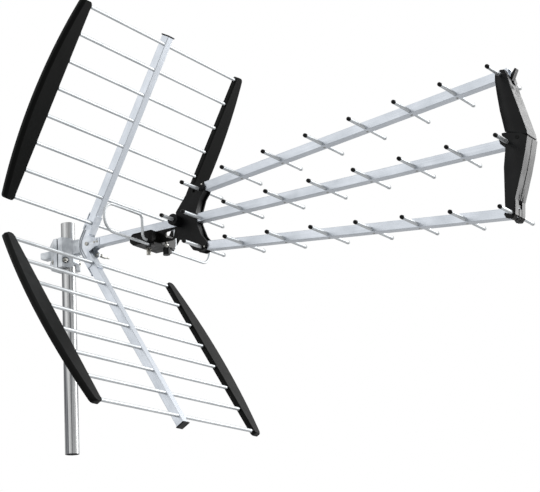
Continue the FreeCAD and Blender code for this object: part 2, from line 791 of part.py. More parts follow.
ARM_PIN = size("arm_pin_radius")
WALL = size("arm_wall")
UP = size("upper_arm_half")
LOW = size("lower_arm_half")
RUN = (COUNT - 1) * PITCH
ARM_X = HUB_X + RUN
SPAN = SPREAD + RUN * TURN_SIN
LAST_OUT = HUB_X + RUN * TURN_COS
LAST_UP = (LAST_OUT + 0.3, SPAN - DROP)
LAST_LOW = (LAST_OUT - 0.3, -SPAN - DROP)
LAST_MID = (ARM_X, -DROP)
PIN_AT = (ARM_X + size("arm_pin_ahead"), size("arm_pin_rise"))


def mid(ahead, up):
    """A point of the spreader's side view, from the middle boom's last director."""
    return (ARM_X + ahead, up)


def top(ahead, up):
    """A point of the spreader's side view, from the upper boom's end."""
    return (ARM_X + ahead, SPAN + up)


def low_end(ahead, up):
    """A point of the spreader's side view, from the lower boom's end."""
    return (ARM_X + ahead, -SPAN + up)


def slot(centre, angle, reach):
    """A rod's seat with its way out, as seen from the side."""
    cut = block(0, reach, -THROUGH, THROUGH, -ROD - GAP, ROD + GAP)
    cut.Placement = Placement(Vector(centre[0], 0, centre[1]), Rotation(Vector(0, 1, 0), -angle))
    return rod_bore(*centre).fuse(cut)


def boom_room(name):
    """The space that a boom's front end takes up, with a small gap all round."""
    room = BOOM_HALF + 0.3
    tail = size("middle_boom_tail") if name == "middle" else size("outer_boom_tail")
    space = block(RUN - PITCH, RUN + tail + 0.3, -room, room, -room, room)
    space.Placement = boom_frame(name).multiply(space.Placement)
    space.translate(Vector(0, 0, -AXIS))
    return space


upper_side = [
    mid(-3, 20),
    mid(-9.5, 64),
    top(-12.5, -42.3),
    top(-14, -14.3),
    top(-12, 0.7),
    top(-2, 7.2),
    top(7, 5.7),
    top(11, -6.3),
    top(16, -34.3),
    mid(30, 56),
    mid(42, 11),
    mid(39, 5),
    mid(32, 4),
    mid(32, -5),
    mid(18, -8),
    mid(10, 4),
]
upper_arm = side_prism(upper_side, -UP, UP)
upper_hollow = [
    mid(-50, -40),
    top(-50, 27.7),
    top(-2, 27.7),
    top(7, -8.3),
    top(12, -35.3),
    mid(26, 55.5),
    mid(38, 9),
    mid(29, 6),
    mid(29, -40),
]
pin_hole = flat_rod(ARM_PIN + GAP, PIN_AT[0], PIN_AT[1], -THROUGH, THROUGH, BOLT_SIDES)
upper_arm = upper_arm.cut(side_prism(upper_hollow, -UP + WALL, UP - WALL))
upper_arm = upper_arm.cut([slot(LAST_UP, 125, 30), pin_hole])
latch_window = block(ARM_X + 2, ARM_X + 25, -7, 7, SPAN - 36.3, SPAN - 14.3)
latch_side = [top(11, -13.3), top(16, -15.3), top(27, 6.7), top(24, 8.7), top(14, -3.3)]
latch = side_prism(latch_side, -6, 6)
upper_arm = upper_arm.cut([latch_window, boom_room("upper"), boom_room("middle")]).fuse(latch)
feature("spreader_upper", at_axis(upper_arm))

lower_side = [
    mid(-2, 17),
    mid(30, 9),
    mid(44, 0),
    mid(36, -31),
    mid(26, -64),
    low_end(13, 42.3),
    low_end(4, 16.3),
    low_end(0, -7.7),
    low_end(-6, -14.7),
    low_end(-16, -11.7),
    low_end(-20, -3.7),
    low_end(-16, 1.3),
    low_end(-16, 14.3),
    mid(-11, -52),
    mid(-4, -14),
    mid(-14, -4),
    mid(-16, 6),
    mid(-9, 8),
    mid(-9, 17),
]
lower_hollow = [
    mid(-50, 40),
    mid(33, 40),
    mid(33, 4),
    mid(40, -2),
    mid(32, -32),
    mid(22, -65),
    low_end(9, 41.3),
    low_end(0, 15.3),
    low_end(-4, -7.7),
    low_end(-10, -57.7),
    low_end(-50, -57.7),
]
lower_arm = side_prism(lower_side, -LOW, 0)
lower_arm = lower_arm.cut(side_prism(lower_hollow, -LOW + WALL, 1))
lower_arm = lower_arm.cut(
    [
        slot(LAST_LOW, 150, 30),
        slot(LAST_MID, 135, 30),
        boom_room("lower"),
        boom_room("middle"),
        side_prism(upper_side, -UP - 0.2, UP + 0.2),
        pin_hole,
    ]
)

# A snap tongue at the foot of the front wall, in its own cut-out with a window above it. The
# tongue belongs to the near shell and bridges the seam.

TONGUE = 6
snap_room = block(ARM_X - 5, ARM_X + 25, -TONGUE - 1.5, THROUGH, -SPAN - 5.7, -SPAN + 16.3)
snap_window = block(ARM_X - 5, ARM_X + 25, -TONGUE - 3, THROUGH, -SPAN + 16.3, -SPAN + 33.3)
snap_side = [low_end(4, 15.3), low_end(0.2, -8.7), low_end(-4, -8.7), low_end(-0.5, 15.3)]
snap_tongue = side_prism(snap_side, -TONGUE, TONGUE)
snap_root = block(ARM_X - 5, ARM_X + 5, -TONGUE, TONGUE, -SPAN - 8.7, -SPAN - 5.7)
lower_shell = lower_arm.cut([snap_room, snap_window])
near_shell = lower_shell.fuse(snap_tongue.cut(boom_room("lower")))
far_shell = mirrored_y(lower_shell).cut([snap_root, snap_tongue])
feature("spreader_lower_near", at_axis(near_shell))
feature("spreader_lower_far", at_axis(far_shell))
pin = flat_rod(ARM_PIN, PIN_AT[0], PIN_AT[1], -LOW - 1, LOW + 1, BOLT_SIDES)
feature("spreader_pin", at_axis(pin))

# Dipole: one bent rod loop on each side, its two ends carried by the balun box.

BOX_X = REAR_X - size("box_behind")
DIP_X = BOX_X + size("dipole_ahead")
low = -size("dipole_low")
high = size("dipole_high")
y_arc = -size("dipole_half") + (high - low) / 2
riser = -size("dipole_riser")
bend = size("dipole_corner")
soft = bend * (1 - math.sqrt(0.5))
foot = low + 9


def loop_point(y, z):
    return Vector(DIP_X, y, z)


def run(y1, z1, y2, z2):
    return Part.LineSegment(loop_point(y1, z1), loop_point(y2, z2)).toShape()


def bend_through(first, middle, last):
    return Part.Arc(loop_point(*first), loop_point(*middle), loop_point(*last)).toShape()


wire = Part.Wire(
    [
        run(-size("dipole_inner"), low, y_arc, low),
        bend_through((y_arc, low), (-size("dipole_half"), (low + high) / 2), (y_arc, high)),
        run(y_arc, high, riser - bend, high),
        bend_through((riser - bend, high), (riser - soft, high - soft), (riser, high - bend)),
        run(riser, high - bend, riser, foot + bend),
        bend_through((riser, foot + bend), (riser + soft, foot + soft), (riser + bend, foot)),
        run(riser + bend, foot, -size("box_half"), foot),
    ]
)
section = []
for index in range(SIDES + 1):
    turn = 2 * math.pi * index / SIDES
    across = Vector(math.cos(turn), 0, math.sin(turn)) * size("dipole_radius")
    section.append(loop_point(-size("dipole_inner"), low) + across)
loop = wire.makePipeShell([Part.makePolygon(section)], True, True)
feature("dipole_near", at_axis(loop))
feature("dipole_far", at_axis(mirrored_y(loop)))

# Balun box under the main boom.

BOX_END = BOX_X + size("box_length")
BOX_TOP = -size("box_top_drop")
BOX_DEEP = size("box_bottom_drop")
BOX_LOW = -BOX_DEEP
BOX_HALF = size("box_half")
box_side = [
    (BOX_X, BOX_LOW + 8),
    (BOX_X + 8, BOX_LOW),
    (BOX_END, BOX_LOW),
    (BOX_END, BOX_TOP),
    (BOX_X + 10, BOX_TOP),
    (BOX_X, BOX_TOP - 6),
]
box = side_prism(box_side, -BOX_HALF, BOX_HALF)
SADDLE_FROM = BOX_X + 12
STRAP_OUT = MAIN_HALF + 3
saddle = block(SADDLE_FROM, BOX_END, -MAIN_HALF, MAIN_HALF, BOX_TOP - 1, -MAIN_HALF - GAP)
strap = block(BOX_END - 18, BOX_END, -STRAP_OUT, STRAP_OUT, BOX_TOP - 1, STRAP_OUT)
boom_way = block(BOX_X, BOX_END + 1, -CHEEK_IN, CHEEK_IN, -CHEEK_IN, CHEEK_IN)
strap_ear = block(BOX_END - 14, BOX_END - 4, -5, 5, STRAP_OUT - 0.5, STRAP_OUT + 8)
gusset_outline = [
    (BOX_END - 1, -MAIN_HALF - 1),
    (REAR_X - 6, -MAIN_HALF - 1),
    (REAR_X - 6, -19),
    (REAR_X + 2, -BOX_DEEP + 1),
    (BOX_END - 1, -BOX_DEEP),
]
gusset_window = [
    (BOX_END + 18, -20),
    (REAR_X - 13, -18),
    (REAR_X - 21, -34),
    (BOX_END + 18, -28),
]
gusset = side_prism(gusset_outline, -HUB_OUT, -HUB_IN)
gusset = gusset.cut([side_prism(gusset_window, -THROUGH, THROUGH), hub_plate])
screw_lug = block(BOX_END - 1, BOX_END + 15, -HUB_IN, HUB_IN, BOX_LOW, BOX_LOW + 5)
SCREW_X = BOX_END + 7
SCREW_R = 2.5
screw_hole = flat_sided(
    BOLT_SIDES, SCREW_R + 2 * GAP, Vector(SCREW_X, 0, BOX_LOW - 1), Vector(0, 0, 1), 8
)
box = box.fuse([saddle, strap.cut(boom_way), strap_ear, gusset, mirrored_y(gusset), screw_lug])
box = box.cut(screw_hole)
feature("balun_box", at_axis(box))

# F connector below the box, the terminals that grip the loops' lower ends, and the screw and
# knob that draw the box up to the boom.


def upright_rod(radius, x, y, z_from, z_to):
    return Part.makeCylinder(radius, z_to - z_from, Vector(x, y, z_from), Vector(0, 0, 1))


PORT = (BOX_X + 23, -6)
collar = upright_rod(6.5, PORT[0], PORT[1], BOX_LOW - 4, BOX_LOW)
thread = upright_rod(4.75, PORT[0], PORT[1], BOX_LOW - 16, BOX_LOW - 4)
feature("f_connector", at_axis(collar.fuse(thread)))

TERMINAL_Y = -size("dipole_inner") - 3
terminal = block(DIP_X - 6, DIP_X + 6, TERMINAL_Y - 6, TERMINAL_Y + 6, low - 6, BOX_LOW)
way_radius = (size("dipole_radius") + GAP) / math.cos(math.pi / SIDES)
rod_way = flat_rod(way_radius, DIP_X, low, -THROUGH, -size("dipole_inner"))
terminal = terminal.cut(rod_way)
feature("dipole_terminals", at_axis(Part.makeCompound([terminal, mirrored_y(terminal)])))

UPWARDS = Vector(0, 0, 1)
screw_run = -MAIN_HALF - BOX_LOW + 20
screw_at = Vector(SCREW_X, 0, BOX_LOW - 20)
screw = flat_sided(BOLT_SIDES, SCREW_R, screw_at, UPWARDS, screw_run)
nut = hexagon(9, 3, Vector(SCREW_X, 0, BOX_LOW - 3), Vector(0, 0, 1))
feature("box_screw", at_axis(screw.fuse(nut)))
knob = flat_sided(2 * SIDES, 8, Vector(SCREW_X, 0, BOX_LOW - 24), UPWARDS, 16)
knob = knob.cut(screw)
feature("box_knob", at_axis(knob))

# Reflector panels: each a tube with eight rods through it and a channel bar over the rods'
# ends on both sides. Drawn flat along X, then turned into place.

PANEL_COUNT = int(size("panel_rod_count"))
PANEL_PITCH = size("panel_rod_pitch")
LAST_PANEL_ROD = PANEL_FIRST + (PANEL_COUNT - 1) * PANEL_PITCH
TURN = Rotation(Vector(0, 1, 0), -size("panel_angle"))
FLIP = Rotation(Vector(1, 0, 0), 180)


def upright(edge):
    """True for a straight edge along the panel's own depth."""
    if len(edge.Vertexes) != 2:
        return False
    move = edge.Vertexes[1].Point - edge.Vertexes[0].Point
    return abs(move.x) < 0.001 and abs(move.y) < 0.001


def side_bar(side):
    """A bowed channel over the rods' ends, open towards the rods."""
    start = size("bar_start")
    end = size("bar_end")
    inner = size("bar_inner")
    width = size("bar_end_width")
    bow = size("bar_bow")
    depth = size("bar_depth")

    def outline(shrink, low_z, high_z):
        a = start + shrink
        b = end - shrink
        y_in = inner + (shrink if shrink else 0)
        y_out = inner + width - shrink
        middle = inner + width + bow - shrink
        edges = [
            Part.LineSegment(Vector(a, y_in, low_z), Vector(b, y_in, low_z)).toShape(),
            Part.LineSegment(Vector(b, y_in, low_z), Vector(b, y_out, low_z)).toShape(),
            Part.Arc(
                Vector(b, y_out, low_z),
                Vector((a + b) / 2, middle, low_z),
                Vector(a, y_out, low_z),
            ).toShape(),
            Part.LineSegment(Vector(a, y_out, low_z), Vector(a, y_in, low_z)).toShape(),
        ]
        return Part.Face(Part.Wire(edges)).extrude(Vector(0, 0, high_z - low_z))

    shell = outline(0, -depth / 2, depth / 2)
    shell = shell.makeFillet(7, [edge for edge in shell.Edges if upright(edge)])
    hollow = outline(size("bar_wall"), -depth / 2 + size("bar_wall"), depth / 2 + 1)
    bar = shell.cut(hollow)
    return bar if side > 0 else mirrored_y(bar)


def panel(name, rotation):
    place = Placement(Vector(APEX, 0, AXIS), rotation)
    behind = size("panel_tube_behind")
    shift = Placement(Vector(size("panel_tube_start"), 0, behind), Rotation())
    length = "sizes.panel_rod_first + (sizes.panel_rod_count - 1) * sizes.panel_rod_pitch"
    square_tube(
        name + "_reflector_tube",
        "sizes.panel_tube_side",
        length + " + sizes.panel_tube_tail - sizes.panel_tube_start",
        place.multiply(shift),
        (
            "sizes.panel_rod_first - sizes.panel_tube_start",
            "sizes.panel_tube_behind",
            "sizes.panel_rod_count",
            "sizes.panel_rod_pitch",
        ),
    )
    rods = []
    half_length = size("panel_rod_half")
    for index in range(PANEL_COUNT):
        place_along = PANEL_FIRST + index * PANEL_PITCH
        rods.append(flat_rod(ROD, place_along, 0, -half_length, half_length))
    group = feature(name + "_reflector_rods", Part.makeCompound(rods))
    group.Placement = place
    holes = [
        flat_rod(BORE, PANEL_FIRST + index * PANEL_PITCH, 0, -half_length, half_length)
        for index in range(PANEL_COUNT)
    ]
    near = -1 if rotation.multVec(Vector(0, 1, 0)).y > 0 else 1
    for side, word in ((near, "near"), (-near, "far")):
        bar = feature("%s_bar_%s" % (name, word), side_bar(side).cut(holes))
        bar.Placement = place
    cap_x = LAST_PANEL_ROD + size("panel_tube_tail")
    cap_half = TUBE_HALF + 1.5
    cap = block(cap_x, cap_x + 3, -cap_half, cap_half, behind - cap_half, behind + cap_half)
    plug = feature(name + "_tube_plug", cap)
    plug.Placement = place


panel("upper", TURN)
panel("lower", FLIP.multiply(TURN))

doc.recompute()

# Checks, then one file for each sub-part.

HELPERS = ("mast_outer", "mast_inner")
KINDS = ("PartDesign::Body", "Part::Cut", "Part::Feature", "Part::Cylinder", "Part::Prism")
SUBPARTS = []
for item in doc.Objects:
    if "Invalid" in item.State or "Error" in item.State:
        raise RuntimeError("%s did not build: %s" % (item.Label, item.State))
    if item.TypeId in KINDS:
        if item.Label not in HELPERS:
            SUBPARTS.append(item)

os.makedirs("parts", exist_ok=True)
for item in SUBPARTS:
    shape = item.Shape
    if shape.isNull() or not shape.isValid() or shape.Volume <= 0:
        raise RuntimeError("%s has no sound solid" % item.Label)
    shape.exportStep("parts/%s.step" % item.Label)
print("sub-parts", len(SUBPARTS))
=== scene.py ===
# %% [markdown]
# An outdoor television antenna: three booms of short rods that fan out from a black hub, two
# grids of long rods behind them, a loop with a box of electronics, and a clamp on a mast. The
# solid model gives every piece its place and size. This file gives the pieces their finish and
# the detail that is too fine for a solid model. The scene is in metres, in the model's own
# frame: X runs forward along the booms, Y to the left, Z up, from the foot of the mast.

# %% Load the solid model
import bpy
import bmesh
import math
import numpy as np
from mathutils import Matrix, Vector


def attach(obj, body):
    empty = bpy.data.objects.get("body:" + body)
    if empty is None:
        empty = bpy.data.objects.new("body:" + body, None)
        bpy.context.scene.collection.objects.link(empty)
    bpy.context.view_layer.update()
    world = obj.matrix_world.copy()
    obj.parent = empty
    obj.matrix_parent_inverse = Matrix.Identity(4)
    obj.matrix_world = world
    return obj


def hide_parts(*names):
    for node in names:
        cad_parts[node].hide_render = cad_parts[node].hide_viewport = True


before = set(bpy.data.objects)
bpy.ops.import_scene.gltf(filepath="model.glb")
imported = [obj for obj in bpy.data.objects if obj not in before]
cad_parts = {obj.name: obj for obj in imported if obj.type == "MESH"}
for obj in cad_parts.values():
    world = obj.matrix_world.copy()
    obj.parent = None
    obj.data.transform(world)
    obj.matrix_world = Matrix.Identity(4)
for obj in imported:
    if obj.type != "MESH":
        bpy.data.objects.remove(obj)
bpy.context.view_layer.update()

# %% [markdown]
# The photograph was taken from below and from the right-hand front side, with a long lens. The
# camera's place was worked out from the straight booms: where their ends and rods lie in the
# picture. Seven numbers hold it: three for the place, the heading, the upward tilt, the small
# roll and the focal length. The image is 540 by 492 pixels, and the lens is for a 36 mm film.

# %% Camera
HEADING = math.radians(31.764)
TILT = math.radians(-15.781)
ROLL = math.radians(-3.078)
CAMERA_PLACE = Vector((2.34878, -2.91744, -0.59668))
LENS = 112.72


def camera_axes(heading, tilt, roll):
    """Right, up and back of the camera: heading turns about Z, tilt lifts, roll turns the frame."""
    back = Vector(
        (
            math.sin(heading) * math.cos(tilt),
            -math.cos(heading) * math.cos(tilt),
            math.sin(tilt),
        )
    )
    right = Vector((math.cos(heading), math.sin(heading), 0))
    up = back.cross(right)
    turned_right = right * math.cos(roll) + up * math.sin(roll)
    turned_up = up * math.cos(roll) - right * math.sin(roll)
    return turned_right, turned_up, back


right, up, back = camera_axes(HEADING, TILT, ROLL)
camera_data = bpy.data.cameras.new("photo_camera")
camera_data.lens = LENS
camera_data.sensor_width = 36
camera_data.sensor_fit = "HORIZONTAL"
camera_data.clip_end = 50
camera = bpy.data.objects.new("photo_camera", camera_data)
turn = Matrix((right, up, back)).transposed().to_4x4()
camera.matrix_world = Matrix.Translation(CAMERA_PLACE) @ turn
bpy.context.scene.collection.objects.link(camera)
bpy.context.scene.camera = camera
print("camera looks along", [round(v, 3) for v in -back])

# %% [markdown]
# A colour is written as it looks on a screen, as six hex digits, and one function turns it into
# the linear values that the renderer works with. One more small function adds a shader node,
# sets its values and links its inputs, so that a material reads as a list of steps.

# %% Colour and shader helpers


def linear(hex_colour, alpha=1.0):
    """sRGB hex to linear: a straight foot below 0.04045 and a 2.4 power above it."""
    values = [int(hex_colour[i : i + 2], 16) / 255 for i in (0, 2, 4)]
    straight = [v / 12.92 if v <= 0.04045 else ((v + 0.055) / 1.055) ** 2.4 for v in values]
    return (*straight, alpha)


def add_node(tree, kind, settings=None, inputs=None):
    """Add one node: settings are its own fields, inputs are values or the sockets to link."""
    node = tree.nodes.new(kind)
    for field, value in (settings or {}).items():
        setattr(node, field, value)
    for socket, value in (inputs or {}).items():
        if isinstance(value, bpy.types.NodeSocket):
            tree.links.new(value, node.inputs[socket])
        else:
            node.inputs[socket].default_value = value
    return node


def start_material(name):
    """An empty material with a principled shader, its output and its object coordinates."""
    material = bpy.data.materials.new(name)
    material.use_nodes = True
    tree = material.node_tree
    tree.nodes.clear()
    shader = add_node(tree, "ShaderNodeBsdfPrincipled")
    add_node(tree, "ShaderNodeOutputMaterial", inputs={"Surface": shader.outputs["BSDF"]})
    place = add_node(tree, "ShaderNodeTexCoord").outputs["Object"]
    return material, tree, shader, place


def blend_colours(tree, amount, low, high):
    """Blend two hex colours by a 0 to 1 socket."""
    ramp = add_node(tree, "ShaderNodeValToRGB", inputs={"Fac": amount})
    ramp.color_ramp.elements[0].color = linear(low)
    ramp.color_ramp.elements[1].color = linear(high)
    return ramp.outputs["Color"]


def spread(tree, value, low, high, start=0.35, end=0.65):
    """Map a noise value from start..end to low..high, held at both ends."""
    return add_node(
        tree,
        "ShaderNodeMapRange",
        inputs={"Value": value, "From Min": start, "From Max": end, "To Min": low, "To Max": high},
    ).outputs["Result"]


print("mid grey in linear light:", [round(v, 3) for v in linear("808080")])

# %% [markdown]
# The tubes and rods are extruded and drawn aluminium. Both are made by pulling the metal through
# a die, which leaves faint lines along the length and a soft, slightly blue, satin shine. The
# lines are stretched noise: many across the piece and few along it, so the pattern has to be
# turned to each piece's own direction before it is stretched. Real die lines are finer than a
# tenth of a millimetre. They are drawn about a millimetre apart, so that they show.

# %% Drawn aluminium
BOOM_ANGLE = 6
GRID_ANGLE = 60
LINES_PER_METRE = 900.0
LINE_CHANGES_PER_METRE = 9.0
CLOUDS_PER_METRE = 22.0


def drawn_aluminium(name, direction, low="BCC2C9", high="CCD1D8", rough=(0.30, 0.42)):
    """Satin aluminium with die lines along direction, an angle in degrees in the XZ plane, or Y."""
    material, tree, shader, place = start_material(name)
    if direction == "Y":
        scale = (LINES_PER_METRE, LINE_CHANGES_PER_METRE, LINES_PER_METRE)
        turned = place
    else:
        scale = (LINE_CHANGES_PER_METRE, LINES_PER_METRE, LINES_PER_METRE)
        turned = add_node(
            tree,
            "ShaderNodeMapping",
            inputs={"Vector": place, "Rotation": (0.0, math.radians(direction), 0.0)},
        ).outputs["Vector"]
    stretched = add_node(
        tree, "ShaderNodeMapping", inputs={"Vector": turned, "Scale": scale}
    ).outputs["Vector"]
    lines = add_node(
        tree, "ShaderNodeTexNoise", inputs={"Vector": stretched, "Scale": 1.0, "Detail": 4.0}
    ).outputs["Fac"]
    clouds = add_node(
        tree, "ShaderNodeTexNoise", inputs={"Vector": place, "Scale": CLOUDS_PER_METRE, "Detail": 3.0}
    ).outputs["Fac"]
    clouds_share = add_node(
        tree, "ShaderNodeMath", {"operation": "MULTIPLY"}, {0: clouds, 1: 0.55}
    ).outputs[0]
    mixed = add_node(
        tree, "ShaderNodeMath", {"operation": "MULTIPLY_ADD"}, {0: lines, 1: 0.45, 2: clouds_share}
    ).outputs[0]
    colour = blend_colours(tree, spread(tree, mixed, 0.0, 1.0), low, high)
    tree.links.new(colour, shader.inputs["Base Color"])
    tree.links.new(spread(tree, mixed, rough[1], rough[0]), shader.inputs["Roughness"])
    bump = add_node(
        tree,
        "ShaderNodeBump",
        inputs={"Height": lines, "Strength": 0.10, "Distance": 0.0002},
    ).outputs["Normal"]
    tree.links.new(bump, shader.inputs["Normal"])
    shader.inputs["Metallic"].default_value = 0.85
    return material


ROD_METAL = drawn_aluminium("drawn_aluminium_rod", "Y", "B4B8BB", "C8CBCD", (0.48, 0.58))
BOOM_METAL = {
    "main_boom": drawn_aluminium("extruded_aluminium_level", 0),
    "upper_boom": drawn_aluminium("extruded_aluminium_rising", BOOM_ANGLE),
    "lower_boom": drawn_aluminium("extruded_aluminium_falling", -BOOM_ANGLE),
    "upper_reflector_tube": drawn_aluminium("extruded_aluminium_upper_grid", GRID_ANGLE),
    "lower_reflector_tube": drawn_aluminium("extruded_aluminium_lower_grid", -GRID_ANGLE),
}
BOOM_METAL["middle_boom"] = BOOM_METAL["main_boom"]
print("aluminium finishes:", [ROD_METAL.name] + sorted({metal.name for metal in BOOM_METAL.values()}))

# %% [markdown]
# The bracket is pressed from zinc-plated steel, the clamp is cast, and the mast is a galvanised
# tube. Zinc grows in faint patches a centimetre or two across, castings have a fine sandy skin,
# and the mast has long streaks up the tube, some 6 mm wide, from dark grey to light grey: the
# cloudy runs of the zinc, and painted reflections of dark surroundings that the white studio lacks.

# %% Zinc, castings and the mast


def patchy_metal(name, low, high, patch, grain, rough, bump_strength, metallic=0.8):
    """Metal whose colour drifts in patches (per metre) under a fine grain that also gives bump."""
    material, tree, shader, place = start_material(name)
    patches = add_node(
        tree, "ShaderNodeTexNoise", inputs={"Vector": place, "Scale": patch, "Detail": 5.0}
    ).outputs["Fac"]
    fine = add_node(
        tree, "ShaderNodeTexNoise", inputs={"Vector": place, "Scale": grain, "Detail": 3.0}
    ).outputs["Fac"]
    tree.links.new(
        blend_colours(tree, spread(tree, patches, 0.0, 1.0), low, high), shader.inputs["Base Color"]
    )
    tree.links.new(spread(tree, patches, rough[1], rough[0]), shader.inputs["Roughness"])
    bump = add_node(
        tree,
        "ShaderNodeBump",
        inputs={"Height": fine, "Strength": bump_strength, "Distance": 0.0003},
    ).outputs["Normal"]
    tree.links.new(bump, shader.inputs["Normal"])
    shader.inputs["Metallic"].default_value = metallic
    return material


ZINC_SHEET = patchy_metal("zinc_plated_sheet_steel", "BCC2CA", "D3D8DE", 60, 1500, (0.34, 0.5), 0.1)
CAST_ALLOY = patchy_metal("die_cast_alloy", "AAAFB4", "CACED2", 45, 1800, (0.42, 0.6), 0.35)
ZINC_BOLT = patchy_metal("zinc_plated_bolt", "8F8F8C", "B2B1AB", 300, 2500, (0.3, 0.45), 0.15)
NICKEL = patchy_metal("nickel_plated_brass", "8C8A84", "B0AEA6", 300, 2500, (0.2, 0.35), 0.08, 1.0)


def galvanised_tube(name):
    """Galvanised steel with long streaks up the tube, dark to light grey: zinc runs and painted
    reflections.
    """
    material, tree, shader, place = start_material(name)
    tall = add_node(
        tree, "ShaderNodeMapping", inputs={"Vector": place, "Scale": (170.0, 170.0, 1.2)}
    ).outputs["Vector"]
    runs_and_painted_reflections = add_node(
        tree, "ShaderNodeTexNoise", inputs={"Vector": tall, "Scale": 1.0, "Detail": 2.0}
    ).outputs["Fac"]
    # The dark streaks are painted reflections as well as zinc runs; they stay fixed to the tube.
    tree.links.new(
        blend_colours(tree, spread(tree, runs_and_painted_reflections, 0.0, 1.0, 0.42, 0.58), "54565A", "B9BABA"),
        shader.inputs["Base Color"],
    )
    tree.links.new(spread(tree, runs_and_painted_reflections, 0.42, 0.26), shader.inputs["Roughness"])
    shader.inputs["Metallic"].default_value = 0.95
    return material


MAST_METAL = galvanised_tube("galvanised_mast_painted_reflections")
METALS = (ZINC_SHEET, CAST_ALLOY, ZINC_BOLT, NICKEL, MAST_METAL)
print("zinc, cast and nickel finishes:", [metal.name for metal in METALS])

# %% [markdown]
# The black pieces are moulded plastic that stays outdoors, so it is filled with soot and
# looks a very dark grey with a dull satin shine. The mould is spark-eroded, which leaves a fine
# even grain of about half a millimetre. The caps on the rods are softer and duller, and the bare
# ones are milky. One near-black matt finish is painted shade: it stands for the shadow in the
# groove down the joint of the spreader's lower shells and in the gap behind its tongue.

# %% Black plastics


def moulded_black(name, low, high, rough, grain=2200, strength=0.12, specular=0.15):
    """Dark moulded plastic: an even fine grain in the bump and a slow drift in the grey."""
    material, tree, shader, place = start_material(name)
    drift = add_node(
        tree, "ShaderNodeTexNoise", inputs={"Vector": place, "Scale": 35.0, "Detail": 4.0}
    ).outputs["Fac"]
    skin = add_node(
        tree, "ShaderNodeTexNoise", inputs={"Vector": place, "Scale": grain, "Detail": 2.0}
    ).outputs["Fac"]
    tree.links.new(
        blend_colours(tree, spread(tree, drift, 0.0, 1.0), low, high), shader.inputs["Base Color"]
    )
    tree.links.new(spread(tree, drift, rough[1], rough[0]), shader.inputs["Roughness"])
    bump = add_node(
        tree, "ShaderNodeBump", inputs={"Height": skin, "Strength": strength, "Distance": 0.0001}
    ).outputs["Normal"]
    tree.links.new(bump, shader.inputs["Normal"])
    shader.inputs["Specular IOR Level"].default_value = specular
    return material


BLACK_MOULDING = moulded_black("black_moulded_plastic", "08090A", "0D0E0F", (0.34, 0.42))
BLACK_BAR = moulded_black("black_bar_plastic", "060706", "0A0B0A", (0.36, 0.44), specular=0.07)
BLACK_CAP = moulded_black("soft_black_cap", "050505", "090A0A", (0.34, 0.42), specular=0.12)
MILKY_CAP = moulded_black("bare_polythene_cap", "A9ACAE", "B9BCBD", (0.42, 0.5), specular=0.35)
# Painted shade: a near-black matt finish for the groove down the spreader's joint and the gap behind
# its tongue.
GROOVE_SHADE_BLACK = moulded_black("painted_groove_shade_black", "040404", "060606", (0.8, 0.9), specular=0.02)
BOX_BLACK = moulded_black("black_box_plastic", "070707", "0B0B0A", (0.3, 0.4), specular=0.12)
PLASTICS = (BLACK_MOULDING, BLACK_BAR, BLACK_CAP, MILKY_CAP, GROOVE_SHADE_BLACK, BOX_BLACK)
print("plastics:", [plastic.name for plastic in PLASTICS])

# %% [markdown]
# Every new piece is worked out with numpy as a grid of points: rows run along the piece and
# columns run round it. One helper joins neighbouring rows into four-sided faces, and another
# turns the points, given in millimetres, into a mesh. A row that shrinks to one point closes an
# end; its doubled points are merged afterwards, and then all faces are turned outwards.

# %% Grids and meshes
MM = 0.001
AXIS_HEIGHT = 470.0


def grid_faces(rows, columns, ring=True, loop=False):
    """Quads between neighbouring rows; ring joins the last column to the first, loop the rows."""
    down = np.arange(rows if loop else rows - 1)[:, None]
    across = np.arange(columns if ring else columns - 1)[None, :]
    below = (down + 1) % rows
    beside = (across + 1) % columns
    corners = [
        down * columns + across,
        down * columns + beside,
        below * columns + beside,
        below * columns + across,
    ]
    return np.stack(corners, axis=-1).reshape(-1, 4)


def surface(points, ring=True, loop=False):
    """A grid of points, rows by columns by 3, as a flat list of points and its faces."""
    rows, columns = points.shape[:2]
    return points.reshape(-1, 3), grid_faces(rows, columns, ring, loop)


def copies(part, shifts):
    """The same part once for each shift, a vector in millimetres."""
    points, faces = part
    shifts = np.asarray(shifts, float)
    steps = np.arange(len(shifts))[:, None, None] * len(points)
    moved = (points[None] + shifts[:, None]).reshape(-1, 3)
    return moved, (faces[None] + steps).reshape(-1, 4)


def carried(part, origin, along, behind):
    """Take a part from its own frame to the object's: along is its X axis, behind its Z axis."""
    points, faces = part
    along = np.asarray(along, float)
    behind = np.asarray(behind, float)
    axes = np.stack([along, np.cross(behind, along), behind])
    return points @ axes + np.asarray(origin, float), faces


def make_piece(name, parts, body, nodes, material, sharp=35.0):
    """Join the parts into one mesh that rides on the body and stands for the nodes. A part is
    its points and its quads, and may have a third entry, a list of many-sided end faces."""
    starts = np.cumsum([0] + [len(part[0]) for part in parts])
    points = np.concatenate([part[0] for part in parts]) * MM
    faces = np.concatenate([part[1] + start for part, start in zip(parts, starts)]).tolist()
    for part, start in zip(parts, starts):
        caps = part[2] if len(part) > 2 else []
        faces += [[int(start) + corner for corner in cap] for cap in caps]
    mesh = bpy.data.meshes.new(name)
    mesh.from_pydata(points.tolist(), [], faces)
    work = bmesh.new()
    work.from_mesh(mesh)
    bmesh.ops.remove_doubles(work, verts=work.verts, dist=2e-6)
    bmesh.ops.recalc_face_normals(work, faces=work.faces)
    work.to_mesh(mesh)
    work.free()
    mesh.shade_smooth()
    mesh.set_sharp_from_angle(angle=math.radians(sharp))
    mesh.materials.append(material)
    piece = bpy.data.objects.new(name, mesh)
    bpy.context.scene.collection.objects.link(piece)
    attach(piece, body)
    if nodes:
        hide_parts(*nodes)
    return piece


